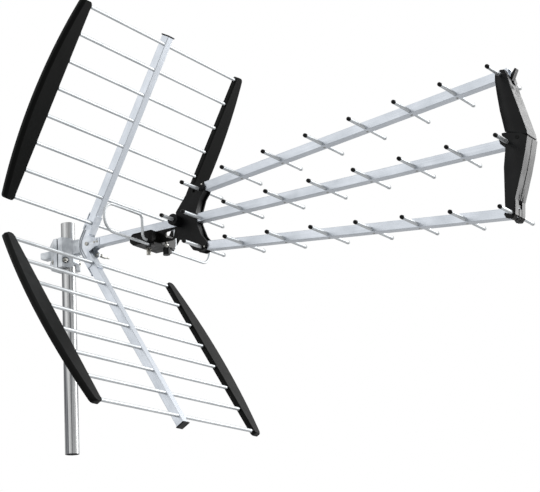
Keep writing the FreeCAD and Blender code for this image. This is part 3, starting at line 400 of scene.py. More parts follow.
def tipped(origin_x, origin_z, angle, turned_over=False):
    """Origin, X axis and Z axis of a frame tipped up by angle in the object's side view."""
    lean = math.radians(angle)
    along = (math.cos(lean), 0.0, math.sin(lean))
    behind = (-math.sin(lean), 0.0, math.cos(lean))
    if turned_over:
        along = (along[0], 0.0, -along[2])
        behind = (behind[0], 0.0, -behind[2])
    return (origin_x, 0.0, AXIS_HEIGHT + origin_z), along, behind


FIRST_DIRECTOR = 375.0
BOOM_SPREAD = 65.5
GRID_APEX = 49.4
BOOM_FRAMES = {
    "upper": tipped(FIRST_DIRECTOR, BOOM_SPREAD, BOOM_ANGLE),
    "middle": tipped(FIRST_DIRECTOR, 0.0, 0),
    "lower": tipped(FIRST_DIRECTOR, -BOOM_SPREAD, -BOOM_ANGLE),
}
GRID_FRAMES = {
    "upper": tipped(GRID_APEX, 0.0, GRID_ANGLE),
    "lower": tipped(GRID_APEX, 0.0, GRID_ANGLE, turned_over=True),
}
LEVEL = tipped(0.0, 0.0, 0)
print("frames:", sorted(BOOM_FRAMES), sorted(GRID_FRAMES))

# %% [markdown]
# The booms and the two upright bars of the reflectors are square aluminium tubes, 20 mm outside
# with a 1.2 mm wall. An extrusion has slightly rounded corners and a saw leaves a small bevel at
# each end. The section is a square with four quarter circles for corners, and it is carried along
# the tube: outside from one end to the other and back again inside, so that the tube is open.
# Two extra points beside each corner keep the flat sides flat when the corners are shaded soft.

# %% Square tubes
TUBE_HALF = 10.0
TUBE_WALL = 1.2
TUBE_CORNER = 1.5
SAW_BEVEL = 0.35
INNER_CORNER = 0.6
MAIN_RUN = (77.0, 352.0)
BOOM_RUNS = {"upper": (15.0, 750.0), "middle": (-9.0, 771.0), "lower": (15.0, 741.0)}
GRID_RUN = (18.0, 510.0)
GRID_TUBE_LIFT = 5.0


def rounded_square(half, corner, steps=4, support=0.4):
    """Four quarter circles of radius corner about the corners of a square, with flat supports."""
    turn = np.linspace(0.0, np.pi / 2, steps + 1)
    flat = half - corner
    arc = np.stack([flat + corner * np.cos(turn), flat + corner * np.sin(turn)], axis=1)
    first = [[half, flat - support]]
    last = [[flat - support, half]]
    quarter = np.concatenate([first, arc, last])
    spins = [np.array([[1, 0], [0, 1]]), np.array([[0, 1], [-1, 0]])]
    spins += [-spins[0], -spins[1]]
    return np.concatenate([quarter @ spin for spin in spins])


def square_tube(start, end):
    """A rounded square carried along X from start to end outside and back inside."""
    inner = TUBE_HALF - TUBE_WALL
    stations = [
        (start, TUBE_HALF - SAW_BEVEL, TUBE_CORNER),
        (start + SAW_BEVEL, TUBE_HALF, TUBE_CORNER),
        (end - SAW_BEVEL, TUBE_HALF, TUBE_CORNER),
        (end, TUBE_HALF - SAW_BEVEL, TUBE_CORNER),
        (end, inner + 0.2, INNER_CORNER),
        (end - 0.3, inner, INNER_CORNER),
        (start + 0.3, inner, INNER_CORNER),
        (start, inner + 0.2, INNER_CORNER),
    ]
    rows = []
    for x, size, bend in stations:
        section = rounded_square(size, bend)
        rows.append(np.column_stack([np.full(len(section), x), section]))
    return surface(np.stack(rows), loop=True)


def lifted(part, height):
    """Move a part up along its own Z axis."""
    points, faces = part
    return points + np.array([0.0, 0.0, height]), faces


make_piece(
    "main_boom_tube",
    [carried(square_tube(*MAIN_RUN), *LEVEL)],
    "antenna",
    ["main_boom"],
    BOOM_METAL["main_boom"],
)
for name, run in BOOM_RUNS.items():
    make_piece(
        name + "_boom_tube",
        [carried(square_tube(*run), *BOOM_FRAMES[name])],
        "antenna",
        [name + "_boom"],
        BOOM_METAL[name + "_boom"],
    )
for name, grid in GRID_FRAMES.items():
    make_piece(
        name + "_grid_tube",
        [carried(lifted(square_tube(*GRID_RUN), GRID_TUBE_LIFT), *grid)],
        "antenna",
        [name + "_reflector_tube"],
        BOOM_METAL[name + "_reflector_tube"],
    )
print("tubes made:", 1 + len(BOOM_RUNS) + len(GRID_FRAMES))

# %% [markdown]
# The rods are drawn aluminium 8 mm thick, cut with a small bevel and pushed through the tubes. A
# rod is a turned shape: a list of places along it with the radius there, carried round its own
# axis. Extra rings beside the bevel keep the straight part straight when it is shaded soft.

# %% Turned shapes and rods
ROD_RADIUS = 4.0
DIRECTOR_HALF = 77.0
GRID_ROD_HALF = 289.5
DIRECTOR_PITCH = 105.0
ROD_DROP = 3.0
DIRECTOR_PLACES = [(DIRECTOR_PITCH * index, 0.0, -ROD_DROP) for index in range(8)]
REAR_DIRECTOR = [(319.0, 0.0, 0.0)]
GRID_FIRST = 53.5
GRID_PITCH = 62.5
GRID_PLACES = [(GRID_FIRST + GRID_PITCH * index, 0.0, 0.0) for index in range(8)]


def turned(profile, sides=24):
    """Carry a list of (place, radius) round the Y axis: x = radius cos, z = radius sin."""
    profile = np.asarray(profile, float)
    turn = np.arange(sides) * 2 * np.pi / sides
    place = np.repeat(profile[:, :1], sides, axis=1)
    across = profile[:, 1:] * np.cos(turn)
    up = profile[:, 1:] * np.sin(turn)
    return surface(np.stack([across, place, up], axis=-1))


def both_ways(profile):
    """A profile given from the middle outwards, with its mirror image before it."""
    profile = np.asarray(profile, float)
    mirror = profile[::-1] * [-1.0, 1.0]
    return np.concatenate([mirror, profile])


def rod_profile(half):
    """A plain rod with a bevel at each end."""
    body = [(0.3, ROD_RADIUS), (half - 1.0, ROD_RADIUS), (half - 0.6, ROD_RADIUS)]
    return both_ways(body + [(half, 3.3), (half, 0.0)])


for name, frame_at in BOOM_FRAMES.items():
    make_piece(
        name + "_director_rods",
        [carried(copies(turned(rod_profile(DIRECTOR_HALF)), DIRECTOR_PLACES), *frame_at)],
        "antenna",
        [name + "_directors"],
        ROD_METAL,
    )
make_piece(
    "rear_director_rod",
    [carried(copies(turned(rod_profile(DIRECTOR_HALF)), REAR_DIRECTOR), *LEVEL)],
    "antenna",
    ["rear_director"],
    ROD_METAL,
)
for name, grid in GRID_FRAMES.items():
    make_piece(
        name + "_grid_rods",
        [carried(copies(turned(rod_profile(GRID_ROD_HALF)), GRID_PLACES), *grid)],
        "antenna",
        [name + "_reflector_rods"],
        ROD_METAL,
    )
print("rods made:", 3 * len(DIRECTOR_PLACES) + 1 + 2 * len(GRID_PLACES))

# %% [markdown]
# Each director ends in a small plastic cap on both sides: a short sleeve that grips the rod, with
# a thicker rim at its mouth and a domed end. The near caps are black, and the far ones are left
# in the milky grey of the bare plastic. All fifty share one profile.

# %% Rod caps
CAP_PROFILE = [
    (73.2, 4.02),
    (73.2, 4.35),
    (73.5, 4.5),
    (74.4, 4.5),
    (74.7, 4.3),
    (77.4, 4.3),
    (78.8, 3.9),
    (79.6, 3.0),
    (79.95, 1.5),
    (80.0, 0.0),
]
cap = turned(CAP_PROFILE, sides=18)
for word, side, finish in (("near", -1.0, BLACK_CAP), ("far", 1.0, MILKY_CAP)):
    sided = (cap[0] * [1.0, side, 1.0], cap[1])
    caps = [carried(copies(sided, REAR_DIRECTOR), *LEVEL)]
    caps += [carried(copies(sided, DIRECTOR_PLACES), *at) for at in BOOM_FRAMES.values()]
    make_piece("rod_caps_" + word, caps, "antenna", ["director_plugs"], finish, sharp=50.0)
print("caps made:", 2 * (3 * len(DIRECTOR_PLACES) + 1))

# %% [markdown]
# The dipole is a 6 mm rod bent into an open loop on each side. Its path lies in one upright
# plane: straight runs joined by circle arcs, the large one at the outer end and two small ones
# where the rod turns down and in to the box. A circle is carried along that path, square to it.

# %% Dipole loops
DIPOLE_X = 256.0
LOOP_ROD = 3.0
LOOP_LOW = -45.0
LOOP_HIGH = 17.0
LOOP_MIDDLE = (LOOP_LOW + LOOP_HIGH) / 2
LOOP_RADIUS = (LOOP_HIGH - LOOP_LOW) / 2
OUTER_ARC = -165.0
BEND = 10.0
RISER = -61.0
FOOT_HEIGHT = -36.0


def arc_points(centre, radius, start, end, steps):
    """Points on a circle arc in the plane of the loop, angles in degrees from the Y axis."""
    turn = np.radians(np.linspace(start, end, steps))
    return np.stack(
        [centre[0] + radius * np.cos(turn), centre[1] + radius * np.sin(turn)], axis=1
    )


def loop_path():
    """The near loop's path as (Y, Z): lower run, outer arc, upper run, riser, foot."""
    return np.concatenate(
        [
            [(y, LOOP_LOW) for y in (-30.0, -30.5, -60.0, -110.0)],
            arc_points((OUTER_ARC, LOOP_MIDDLE), LOOP_RADIUS, 270.0, 90.0, 33),
            [(-120.0, LOOP_HIGH)],
            arc_points((RISER - BEND, LOOP_HIGH - BEND), BEND, 90.0, 0.0, 13),
            [(RISER, -10.0)],
            arc_points((RISER + BEND, FOOT_HEIGHT + BEND), BEND, 180.0, 270.0, 13),
            [(-45.6, FOOT_HEIGHT)],
        ]
    )


def bent_rod(path, radius, sides=20):
    """Carry a circle along a flat path. Its normal is the path's direction turned a quarter, and
    the first ring is smaller, which bevels the rod's free end."""
    step = np.gradient(path, axis=0)
    step /= np.linalg.norm(step, axis=1)[:, None]
    normal = np.stack([-step[:, 1], step[:, 0]], axis=1)
    turn = np.arange(sides) * 2 * np.pi / sides
    radii = np.full(len(path), radius)
    radii[0] = radius * 0.8
    inside = path[:, None] + normal[:, None] * (radii[:, None] * np.cos(turn))[..., None]
    depth = radii[:, None] * np.sin(turn)
    rings = np.concatenate([depth[..., None], inside], axis=-1)
    centres = np.concatenate([np.zeros((len(path), 1)), path], axis=1)
    first = np.repeat(centres[:1, None], sides, axis=1)
    last = np.repeat(centres[-1:, None], sides, axis=1)
    return surface(np.concatenate([first, rings, last]))


LOOP_AT = [(DIPOLE_X, 0.0, AXIS_HEIGHT)]
near_loop = copies(bent_rod(loop_path(), LOOP_ROD), LOOP_AT)
far_loop = (near_loop[0] * [1.0, -1.0, 1.0], near_loop[1])
make_piece("dipole_loop_near", [near_loop], "antenna", ["dipole_near"], ROD_METAL)
make_piece("dipole_loop_far", [far_loop], "antenna", ["dipole_far"], ROD_METAL)
print("dipole path points:", len(loop_path()))

# %% [markdown]
# Each reflector has a bowed black bar along both sides. It is a moulded channel: an outer skin
# with a flat front, a slanted band along the curved edge, and ends with round corners, open at
# the back. Only the outer skin is worked out, and the Solidify modifier gives it its wall.

# %% Side bars
BAR_FROM = 45.0
BAR_TO = 500.0
BAR_INNER = 278.0
BAR_CROWN = 332.0
BAR_BOW = 26.0
BAR_DEEP = 6.2
BAR_CORNER = 7.0
BAR_WALL = 1.6


def bar_skin():
    """Rows run along the bar. The outer edge is a circle arc through both ends and the crown,
    and both edges turn in at the ends by the corner's radius minus the height of a circle of
    that radius, which rounds the corners. Columns run across it: side 0 is the inner edge and
    1 the outer one."""
    middle = (BAR_FROM + BAR_TO) / 2
    half = (BAR_TO - BAR_FROM) / 2
    ends = BAR_CORNER * (1 - np.cos(np.linspace(0.0, np.pi / 2, 7)))
    inner_run = np.linspace(BAR_FROM + BAR_CORNER, BAR_TO - BAR_CORNER, 44)
    x = np.concatenate([BAR_FROM + ends[:-1], inner_run, (BAR_TO - ends[:-1])[::-1]])
    radius = (half**2 + BAR_BOW**2) / (2 * BAR_BOW)
    outer = BAR_CROWN - radius + np.sqrt(radius**2 - (x - middle) ** 2)
    edge = np.minimum(x - BAR_FROM, BAR_TO - x)
    from_corner = np.maximum(0.0, BAR_CORNER - edge)
    turn_in = BAR_CORNER - np.sqrt(np.maximum(0.0, BAR_CORNER**2 - from_corner**2))
    low = BAR_INNER + turn_in
    high = outer - turn_in
    shape = [
        (0.0, 0.0, BAR_DEEP),
        (0.0, 0.0, 1.4 - BAR_DEEP),
        (0.0, 0.4, 0.4 - BAR_DEEP),
        (0.0, 1.4, -BAR_DEEP),
        (0.0, 2.2, -BAR_DEEP),
        (1.0, -8.0, -BAR_DEEP),
        (1.0, -7.2, -BAR_DEEP),
        (1.0, -6.2, 0.3 - BAR_DEEP),
        (1.0, -1.4, 3.6 - BAR_DEEP),
        (1.0, -0.4, 4.5 - BAR_DEEP),
        (1.0, 0.0, 5.4 - BAR_DEEP),
        (1.0, 0.0, BAR_DEEP),
    ]
    side, shift, depth = np.array(shape).T
    y = low[:, None] * (1 - side) + high[:, None] * side + shift
    grid = np.stack([np.repeat(x[:, None], len(side), 1), y, np.repeat(depth[None], len(x), 0)], -1)
    centre = np.stack([x[[0, -1]], (low + high)[[0, -1]] / 2, [BAR_DEEP] * 2], axis=-1)
    first = np.repeat(centre[:1, None], len(side), axis=1)
    last = np.repeat(centre[1:, None], len(side), axis=1)
    return surface(np.concatenate([first, grid, last]), ring=False)


def rod_bosses():
    """A low round boss on the bar's inner edge for each rod."""
    face = BAR_INNER - 2.2
    profile = [(BAR_INNER + 0.2, 5.6), (face + 0.6, 5.5), (face, 5.0), (face, ROD_RADIUS + 0.02)]
    return copies(turned(profile, sides=20), GRID_PLACES)


def mirror_side(part, side):
    """Put a part on the other side of its frame when side is -1."""
    return part[0] * [1.0, side, 1.0], part[1]


for name, grid in GRID_FRAMES.items():
    for word, world_side in (("near", -1.0), ("far", 1.0)):
        # The lower grid's frame is turned over, so its Y axis runs the other way.
        side = world_side if name == "upper" else -world_side
        skin = carried(mirror_side(bar_skin(), side), *grid)
        bar = make_piece(
            "%s_side_bar_%s" % (name, word),
            [skin],
            "antenna",
            ["%s_bar_%s" % (name, word)],
            BLACK_BAR,
            sharp=28.0,
        )
        wall = bar.modifiers.new("wall", "SOLIDIFY")
        wall.thickness = BAR_WALL * MM
        wall.offset = -1.0
        wall.use_even_offset = True
        bosses = carried(mirror_side(rod_bosses(), side), *grid)
        make_piece("%s_bar_bosses_%s" % (name, word), [bosses], "antenna", [], BLACK_BAR)
print("side bars made:", 2 * len(GRID_FRAMES))

# %% [markdown]
# The directors are held by blind rivets through the underside of the boom. A rivet has a thin
# round head with a hole in the middle, where its pin has broken off. It is one turned shape,
# repeated under the six middle rods of each boom; the hub and the spreader hold the other two.

# %% Rivets under the booms
RIVET_PROFILE = [(-9.9, 2.7), (-10.3, 2.65), (-10.75, 2.1), (-10.85, 1.5), (-10.3, 1.2)]
RIVET_PROFILE += [(-10.2, 0.0)]


def upright(part):
    """Turn a part so that its Y axis points up: (x, y, z) goes to (x, -z, y)."""
    points, faces = part
    return np.stack([points[:, 0], -points[:, 2], points[:, 1]], axis=-1), faces


RIVET_PLACES = [(DIRECTOR_PITCH * index, 0.0, 0.0) for index in range(1, 7)]
rivet = upright(turned(RIVET_PROFILE, sides=16))
rivets = [carried(copies(rivet, RIVET_PLACES), *frame_at) for frame_at in BOOM_FRAMES.values()]
make_piece("director_rivets", rivets, "antenna", [], ZINC_BOLT)
print("rivets made:", 3 * len(RIVET_PLACES))

# %% [markdown]
# The castings, the pressed bracket and the black mouldings keep the shape of the solid model,
# but no real edge is perfectly sharp: a mould or a press leaves a small radius that catches the
# light. A copy of each solid is merged, its flat areas are joined again, and a Bevel modifier
# rounds the edges that are sharper than 25 degrees.

# %% Rounded copies of the mouldings and castings
SHARP_FROM = 25.0
EDGE_STEPS = 2


def solid_object(node):
    """The Blender object of a solid."""
    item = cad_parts[node]
    return item if hasattr(item, "data") else bpy.data.objects[node]


def rounded_copy(node, width, body, material):
    """A merged copy of a node's mesh with all its sharp edges rounded by width millimetres."""
    mesh = solid_object(node).data.copy()
    mesh.name = node + "_rounded"
    work = bmesh.new()
    work.from_mesh(mesh)
    bmesh.ops.remove_doubles(work, verts=work.verts, dist=1e-6)
    bmesh.ops.dissolve_limit(
        work, angle_limit=math.radians(1.0), verts=work.verts, edges=work.edges
    )
    bmesh.ops.recalc_face_normals(work, faces=work.faces)
    work.to_mesh(mesh)
    work.free()
    mesh.shade_smooth()
    mesh.set_sharp_from_angle(angle=math.radians(SHARP_FROM))
    mesh.materials.clear()
    mesh.materials.append(material)
    piece = bpy.data.objects.new(node + "_rounded", mesh)
    bpy.context.scene.collection.objects.link(piece)
    bevel = piece.modifiers.new("edge", "BEVEL")
    bevel.width = width * MM
    bevel.segments = EDGE_STEPS
    bevel.limit_method = "ANGLE"
    bevel.angle_limit = math.radians(SHARP_FROM)
    bevel.harden_normals = True
    bevel.use_clamp_overlap = True
    bevel.miter_outer = "MITER_ARC"
    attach(piece, body)
    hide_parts(node)


MOULDED_EDGES = {
    "hub_near": 0.6,
    "hub_far": 0.6,
    "hub_core": 0.4,
    "spreader_upper": 0.7,
    "spreader_lower_near": 1.3,
    "spreader_lower_far": 1.3,
    "dipole_terminals": 0.4,
    "upper_tube_plug": 0.8,
    "lower_tube_plug": 0.8,
}
METAL_EDGES = [
    ("bracket", 0.3, "antenna", ZINC_SHEET),
    ("wing_nut", 0.5, "antenna", ZINC_BOLT),
    ("clamp_cradle", 0.8, "clamp", CAST_ALLOY),
    ("clamp_jaw", 0.8, "clamp", CAST_ALLOY),
]
for node, width in MOULDED_EDGES.items():
    rounded_copy(node, width, "antenna", BLACK_MOULDING)
for node, width, body, material in METAL_EDGES:
    rounded_copy(node, width, body, material)
print("rounded copies made:", len(MOULDED_EDGES) + len(METAL_EDGES))

# %% [markdown]
# The box of electronics under the boom is a moulded case: a sloping outline carried sideways,
# with bevelled edges, a raised panel on each end and the thin edge of a lid along the top. A
# gusset with a window ties it to the hub. Each flat part is a slab: one outline in the side
# view, drawn in a little at both faces, so that its edges are bevelled all round.

# %% Slabs and the box


def inset(outline, amount):
    """Move both edges at each corner inwards by amount millimetres. The corner moves along the
    sum of their normals, and a lower limit keeps a very sharp corner from moving too far."""
    outline = np.asarray(outline, float)
    following = np.roll(outline, -1, axis=0)
    edge = following - outline
    edge /= np.linalg.norm(edge, axis=1)[:, None]
    normal = np.stack([-edge[:, 1], edge[:, 0]], axis=1)
    doubled_area = np.sum(outline[:, 0] * following[:, 1] - outline[:, 1] * following[:, 0])
    normal *= np.sign(doubled_area)
    before = np.roll(normal, 1, axis=0)
    share = 1.0 + np.sum(normal * before, axis=1)
    return outline + amount * (normal + before) / np.maximum(share, 0.35)[:, None]


def ring_at(outline, place, amount):
    """The outline drawn in by amount and stood at place along Y."""
    ring = inset(outline, amount)
    return np.column_stack([ring[:, 0], np.full(len(ring), place), ring[:, 1]])


def slab(outline, y_from, y_to, bevel, window=None):
    """An outline in the XZ plane carried along Y, its rim bevelled; a window needs as many
    corners as the outline, because the faces run from the one to the other."""
    rings = [
        ring_at(outline, y_from, bevel),
        ring_at(outline, y_from + bevel, 0.0),
        ring_at(outline, y_to - bevel, 0.0),
        ring_at(outline, y_to, bevel),
    ]
    if window is not None:
        rings += [
            ring_at(window, y_to, -bevel),
            ring_at(window, y_to - bevel, 0.0),
            ring_at(window, y_from + bevel, 0.0),
            ring_at(window, y_from, -bevel),
        ]
        return surface(np.stack(rings), loop=True)
    points, faces = surface(np.stack(rings))
    count = len(outline)
    caps = [tuple(range(count)), tuple(range(3 * count, 4 * count))]
    return points, faces, caps


def placed(part, y=0.0):
    """Lift a part to the axis height and shift it along Y, whatever faces it has."""
    return (part[0] + np.array([0.0, y, AXIS_HEIGHT]),) + tuple(part[1:])


BOX_OUTLINE = [(208, -33), (216, -41), (268, -41), (268, -16), (218, -16), (208, -22)]
END_PANEL = [(213, -31.5), (217.5, -36.5), (263, -36.5)]
END_PANEL += [(263, -20.5), (220, -20.5), (213, -24.5)]
LID_EDGE = [(209.5, -23.0), (209.5, -21.4), (218.4, -15.3)]
LID_EDGE += [(267.6, -15.3), (267.6, -17.0), (218.6, -17.0)]
SADDLE = [(232, -16.4), (232, -10.3), (267, -10.3), (267, -16.4)]
GUSSET = [(266, -11), (313, -11), (313, -19), (318.5, -33), (300, -39), (266, -39)]
GUSSET_WINDOW = [(281, -18), (306, -14.5), (309, -17), (304, -33.5), (300, -35), (283, -28.5)]
PANEL_PLACE = 45.0
box_parts = [
    placed(slab(BOX_OUTLINE, -45.2, 45.2, 1.6)),
    placed(slab(END_PANEL, -PANEL_PLACE - 0.8, -PANEL_PLACE + 0.8, 0.5)),
    placed(slab(END_PANEL, PANEL_PLACE - 0.8, PANEL_PLACE + 0.8, 0.5)),
    placed(slab(LID_EDGE, -45.9, 45.9, 0.5)),
    placed(slab(SADDLE, -9.6, 9.6, 0.6)),
    placed(slab(GUSSET, -13.5, -10.1, 0.5, GUSSET_WINDOW)),
]
make_piece("balun_case", box_parts, "antenna", ["balun_box"], BOX_BLACK, sharp=30.0)
print("box parts:", len(box_parts))

# %% [markdown]
# Two ribs are pressed into each cheek of the bracket, along its rear edge. They are drawn as
# half-sunk rods that stand 1.5 mm proud, and their zinc is painted darker than the cheek: painted
# shade for the shadows along the ribs, which makes them read as two thin lines.

# %% Ribs of the bracket
# Painted shade: the ribs' zinc is darker than the cheek to stand in for their shadows.
RIB_SHADE_ZINC = patchy_metal("zinc_rib_painted_shade", "7E8286", "9A9EA2", 60, 1500, (0.42, 0.56), 0.1)
RIB_SLOPE = 0.576
RIB_RADIUS = 1.5
RIB_MIDDLE = 11.5


def rib_path(straight, end, rear):
    """Height up the cheek, and place from the rear: straight in the middle, then a slope. Half
    the sum of past and the root of its square plus nine is near 0 before the bend and near
    past after it, so that the slope starts softly."""
    height = np.linspace(-end, end, 61)
    past = np.abs(height) - straight
    ahead = rear + RIB_SLOPE * (past + np.sqrt(past**2 + 9.0)) / 2
    return np.stack([ahead, height], axis=1)


ribs = []
for straight, end, rear in ((11.4, 44.0, 42.7), (9.0, 33.0, 47.0)):
    points, faces = bent_rod(rib_path(straight, end, rear), RIB_RADIUS, sides=12)
    in_side_view = points[:, [1, 0, 2]]
    for side in (-1.0, 1.0):
        ribs.append(placed((in_side_view, faces), y=side * RIB_MIDDLE))
make_piece("bracket_ribs", ribs, "antenna", [], RIB_SHADE_ZINC)
print("ribs made:", len(ribs))

# %% [markdown]
# The front spreader is a hollow arm on either side of the middle boom. Its upper arm wears a
# cover nearly as wide as the lower shells: a channel with two side walls and a front wall.
# Rows run up the arm between a rear and a front rail, and columns run round the channel. In the
# middle the front wall stops short of the latch, which leaves the dark notch under it.

# %% Spreader cover
REAR_RAIL = [(1108.0, 19.0), (1101.4, 64.0), (1098.4, 100.0), (1097.0, 128.0), (1098.5, 141.0)]
FRONT_RAIL = [(1153.6, 2.5), (1153.3, 11.0), (1141.8, 56.0), (1128.2, 108.0), (1122.6, 138.0)]
COVER_SIDE = 23.6
COVER_WALL = 1.4
NOTCH_SIDE = 8.2


def rail(points, shares):
    """Points at the given shares of a broken line's length."""
    points = np.asarray(points, float)
    length = np.concatenate([[0.0], np.cumsum(np.linalg.norm(np.diff(points, axis=0), axis=1))])
    shares = np.asarray(shares) * length[-1]
    return np.stack([np.interp(shares, length, points[:, axis]) for axis in (0, 1)], axis=-1)


def spreader_cover():
    """Columns: share from rear rail to front rail, place across, and how far up the column goes."""
    columns = [(share, -COVER_SIDE, 1.0) for share in (0.0, 0.5, 0.93)]
    columns += [(0.98, 0.4 - COVER_SIDE, 1.0), (1.0, 1.4 - COVER_SIDE, 1.0)]
    columns += [(1.0, -NOTCH_SIDE, 1.0), (1.0, 0.6 - NOTCH_SIDE, 0.86)]
    columns += [(share, -across, height) for share, across, height in columns[::-1]]
    share, across, height = np.array(columns).T
    steps = np.linspace(0.0, 1.0, 49)
    up = steps[:, None] * height[None]
    rear = rail(REAR_RAIL, up.ravel()).reshape(up.shape + (2,))
    front = rail(FRONT_RAIL, up.ravel()).reshape(up.shape + (2,))
    side_view = rear * (1 - share)[None, :, None] + front * share[None, :, None]
    y = np.repeat(across[None], len(steps), axis=0)
    return surface(np.stack([side_view[..., 0], y, side_view[..., 1]], axis=-1), ring=False)


cover = make_piece(
    "spreader_cover", [placed(spreader_cover())], "antenna", [], BLACK_MOULDING, sharp=30.0
)
wall = cover.modifiers.new("wall", "SOLIDIFY")
wall.thickness = COVER_WALL * MM
wall.offset = -1.0
print("cover made:", len(cover.data.vertices), "points")

# %% [markdown]
# At its foot the lower arm closes over the end of the lower boom. The front wall there is cut on
# both sides of a springy tongue with a dark opening above it, so it is made of slabs with gaps
# between them. A thin near-black matt strip down the joint between the two lower shells is painted
# shade for the groove there, and the same painted shade lies as a sheet in the gap behind the tongue.

# %% Spreader foot, seam and pin
FOOT = [(1113.4, -120.0), (1116.6, -120.0), (1114.8, -138.0), (1113.6, -150.0), (1107.5, -157.4)]
FOOT += [(1103.0, -157.4), (1103.0, -155.8), (1106.6, -155.8), (1112.0, -149.4), (1113.0, -138.0)]
SIDE_WALL = [(1098.0, -122.0), (1115.8, -121.0), (1114.2, -138.0), (1113.0, -150.0)]
SIDE_WALL += [(1107.2, -156.8), (1098.0, -156.4)]
foot_parts = [placed(slab(FOOT, start, end, 0.4)) for start, end in ((-23.4, -7.9), (7.9, 23.4))]
TONGUE = [(1113.2, -135.5), (1115.2, -135.5), (1113.6, -150.0), (1107.5, -157.4), (1103.0, -157.4)]
TONGUE += [(1103.0, -155.8), (1106.6, -155.8), (1112.0, -149.4)]
foot_parts.append(placed(slab(TONGUE, -4.8, 6.0, 0.4)))
BRIDGE = [(1120.9, -106.5), (1116.8, -118.5), (1115.0, -118.0), (1118.9, -106.0)]
foot_parts.append(placed(slab(BRIDGE, -7.0, 7.0, 0.3)))
foot_parts += [placed(slab(SIDE_WALL, side - 0.9, side + 0.9, 0.4)) for side in (-22.6, 22.6)]
# The seam strip is painted shade: a dark matt strip where the groove between the shells lies in
# shadow.
SEAM = [(1153.8, -1.6), (1146.3, -31.0), (1136.4, -64.0), (1123.5, -100.0), (1120.6, -108.6)]
SEAM += [(1117.1, -118.6), (1115.1, -118.0), (1121.5, -99.4), (1134.4, -63.4)]
SEAM += [(1144.3, -30.4), (1151.8, -1.0)]
seam = placed(slab(SEAM, -1.0, 1.0, 0.2))
# A near-black sheet in the gap behind the tongue: painted shade.
TONGUE_GAP_SHADE = [(1112.2, -122.0), (1113.1, -122.0), (1112.7, -149.0), (1111.9, -149.0)]
tongue_gap_shade = placed(slab(TONGUE_GAP_SHADE, -8.6, 8.6, 0.1))
make_piece("spreader_seam_painted_shade", [seam, tongue_gap_shade], "antenna", [], GROOVE_SHADE_BLACK, sharp=30.0)
make_piece("spreader_foot", foot_parts, "antenna", [], BLACK_MOULDING, sharp=30.0)
PIN_HALF = [(0.5, 2.1), (23.6, 2.1), (24.0, 4.2), (24.6, 4.2), (24.9, 3.8), (24.9, 2.0)]
PIN_HALF += [(24.2, 1.8), (24.2, 0.0)]
pin = copies(turned(both_ways(PIN_HALF)), [(1132.0, 0.0, AXIS_HEIGHT + 2.0)])
make_piece("spreader_pin_turned", [pin], "antenna", ["spreader_pin"], BLACK_CAP)
print("foot, seam and pin made:", len(foot_parts), "slabs in the foot")

# %% [markdown]
# Each solid keeps its own mesh and gets the finish of the real piece. The mast, the knob, the
# threaded outlet and most fasteners have no finer copy, so they show just as they are.

# %% Finish the solid pieces
BOLT_NAMES = ("hub_pins", "spreader_pin", "clamp_", "tilt", "wing", "bracket_", "box_screw")
BOLT_NAMES += ("stud_",)


def finish_for(node):
    """Pick the finish of a solid by its name."""
    if node in BOOM_METAL:
        return BOOM_METAL[node]
    if node.endswith("directors") or node == "rear_director" or node.endswith("_rods"):
        return ROD_METAL
    if node.startswith("dipole_near") or node.startswith("dipole_far"):
        return ROD_METAL
    if node == "mast_tube":
        return MAST_METAL
    if node in ("clamp_cradle", "clamp_jaw"):
        return CAST_ALLOY
    if node == "bracket":
        return ZINC_SHEET
    if node == "f_connector":
        return NICKEL
    if node == "director_plugs":
        return BLACK_CAP
    if "_bar_" in node:
        return BLACK_BAR
    if node.startswith(BOLT_NAMES):
        return ZINC_BOLT
    return BLACK_MOULDING


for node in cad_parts:
    solid_mesh = solid_object(node).data
    solid_mesh.materials.clear()
    solid_mesh.materials.append(finish_for(node))
print("finished solids:", len(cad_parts))

# %% [markdown]
# The studio is plain: a pale floor well below the mast's foot, because the camera looks up from
# under it, and a white surround. Two weak lamps hang above and on the left of the picture, in
# front. A strong one stands ahead of the spreader on the far side, and its shine makes the
# black front wall look grey. The surround is white to the camera and in reflections, and gives
# 0.7 of that as light.

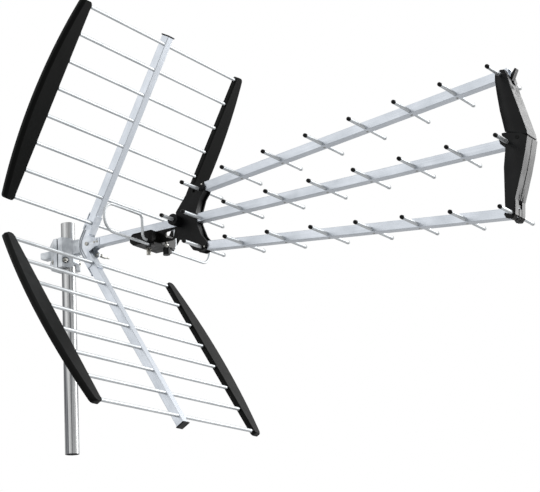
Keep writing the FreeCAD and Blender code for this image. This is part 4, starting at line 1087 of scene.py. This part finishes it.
# %% Floor, surround and lamps
FLOOR_REACH = 20.0
FLOOR_HEIGHT = -1.3
floor_mesh = bpy.data.meshes.new("floor")
corners = [(x, y, FLOOR_HEIGHT) for x, y in ((-1, -1), (1, -1), (1, 1), (-1, 1))]
corners = [(x * FLOOR_REACH, y * FLOOR_REACH, z) for x, y, z in corners]
floor_mesh.from_pydata(corners, [], [(0, 1, 2, 3)])
floor = bpy.data.objects.new("floor", floor_mesh)
bpy.context.scene.collection.objects.link(floor)
floor_paint = bpy.data.materials.new("pale_floor")
floor_paint.use_nodes = True
floor_shader = floor_paint.node_tree.nodes["Principled BSDF"]
floor_shader.inputs["Base Color"].default_value = linear("D2D2D2")
floor_shader.inputs["Roughness"].default_value = 0.9
floor_mesh.materials.append(floor_paint)

world = bpy.data.worlds.new("white_surround")
world.use_nodes = True
bpy.context.scene.world = world
sky = world.node_tree
sky.nodes.clear()
ray = add_node(sky, "ShaderNodeLightPath")
seen = add_node(
    sky,
    "ShaderNodeMath",
    {"operation": "MAXIMUM"},
    {0: ray.outputs["Is Camera Ray"], 1: ray.outputs["Is Glossy Ray"]},
)
seen = add_node(
    sky,
    "ShaderNodeMath",
    {"operation": "MAXIMUM"},
    {0: seen.outputs[0], 1: ray.outputs["Is Transmission Ray"]},
)
strength = add_node(
    sky,
    "ShaderNodeMapRange",
    inputs={"Value": seen.outputs[0], "To Min": 0.7, "To Max": 1.0},
)
surround = add_node(
    sky,
    "ShaderNodeBackground",
    inputs={"Color": (1.0, 1.0, 1.0, 1.0), "Strength": strength.outputs["Result"]},
)
add_node(sky, "ShaderNodeOutputWorld", inputs={"Surface": surround.outputs["Background"]})


def soft_lamp(name, place, aim, size, watts):
    """A square lamp at place, turned to face aim."""
    data = bpy.data.lights.new(name, "AREA")
    data.shape = "SQUARE"
    data.size = size
    data.energy = watts
    lamp = bpy.data.objects.new(name, data)
    lamp.location = place
    lamp.rotation_euler = (Vector(aim) - Vector(place)).to_track_quat("-Z", "Y").to_euler()
    bpy.context.scene.collection.objects.link(lamp)


MIDDLE = (0.55, 0.0, 0.47)
soft_lamp("left_front_lamp", (-1.2, -3.0, 1.7), MIDDLE, 3.0, 12)
soft_lamp("far_side_lamp", (2.9, 3.3, 1.6), MIDDLE, 2.6, 150)
soft_lamp("top_lamp", (0.6, 0.2, 3.4), MIDDLE, 2.5, 14)

bpy.context.scene.view_settings.view_transform = "Standard"
print("lamps:", [lamp.name for lamp in bpy.data.lights])
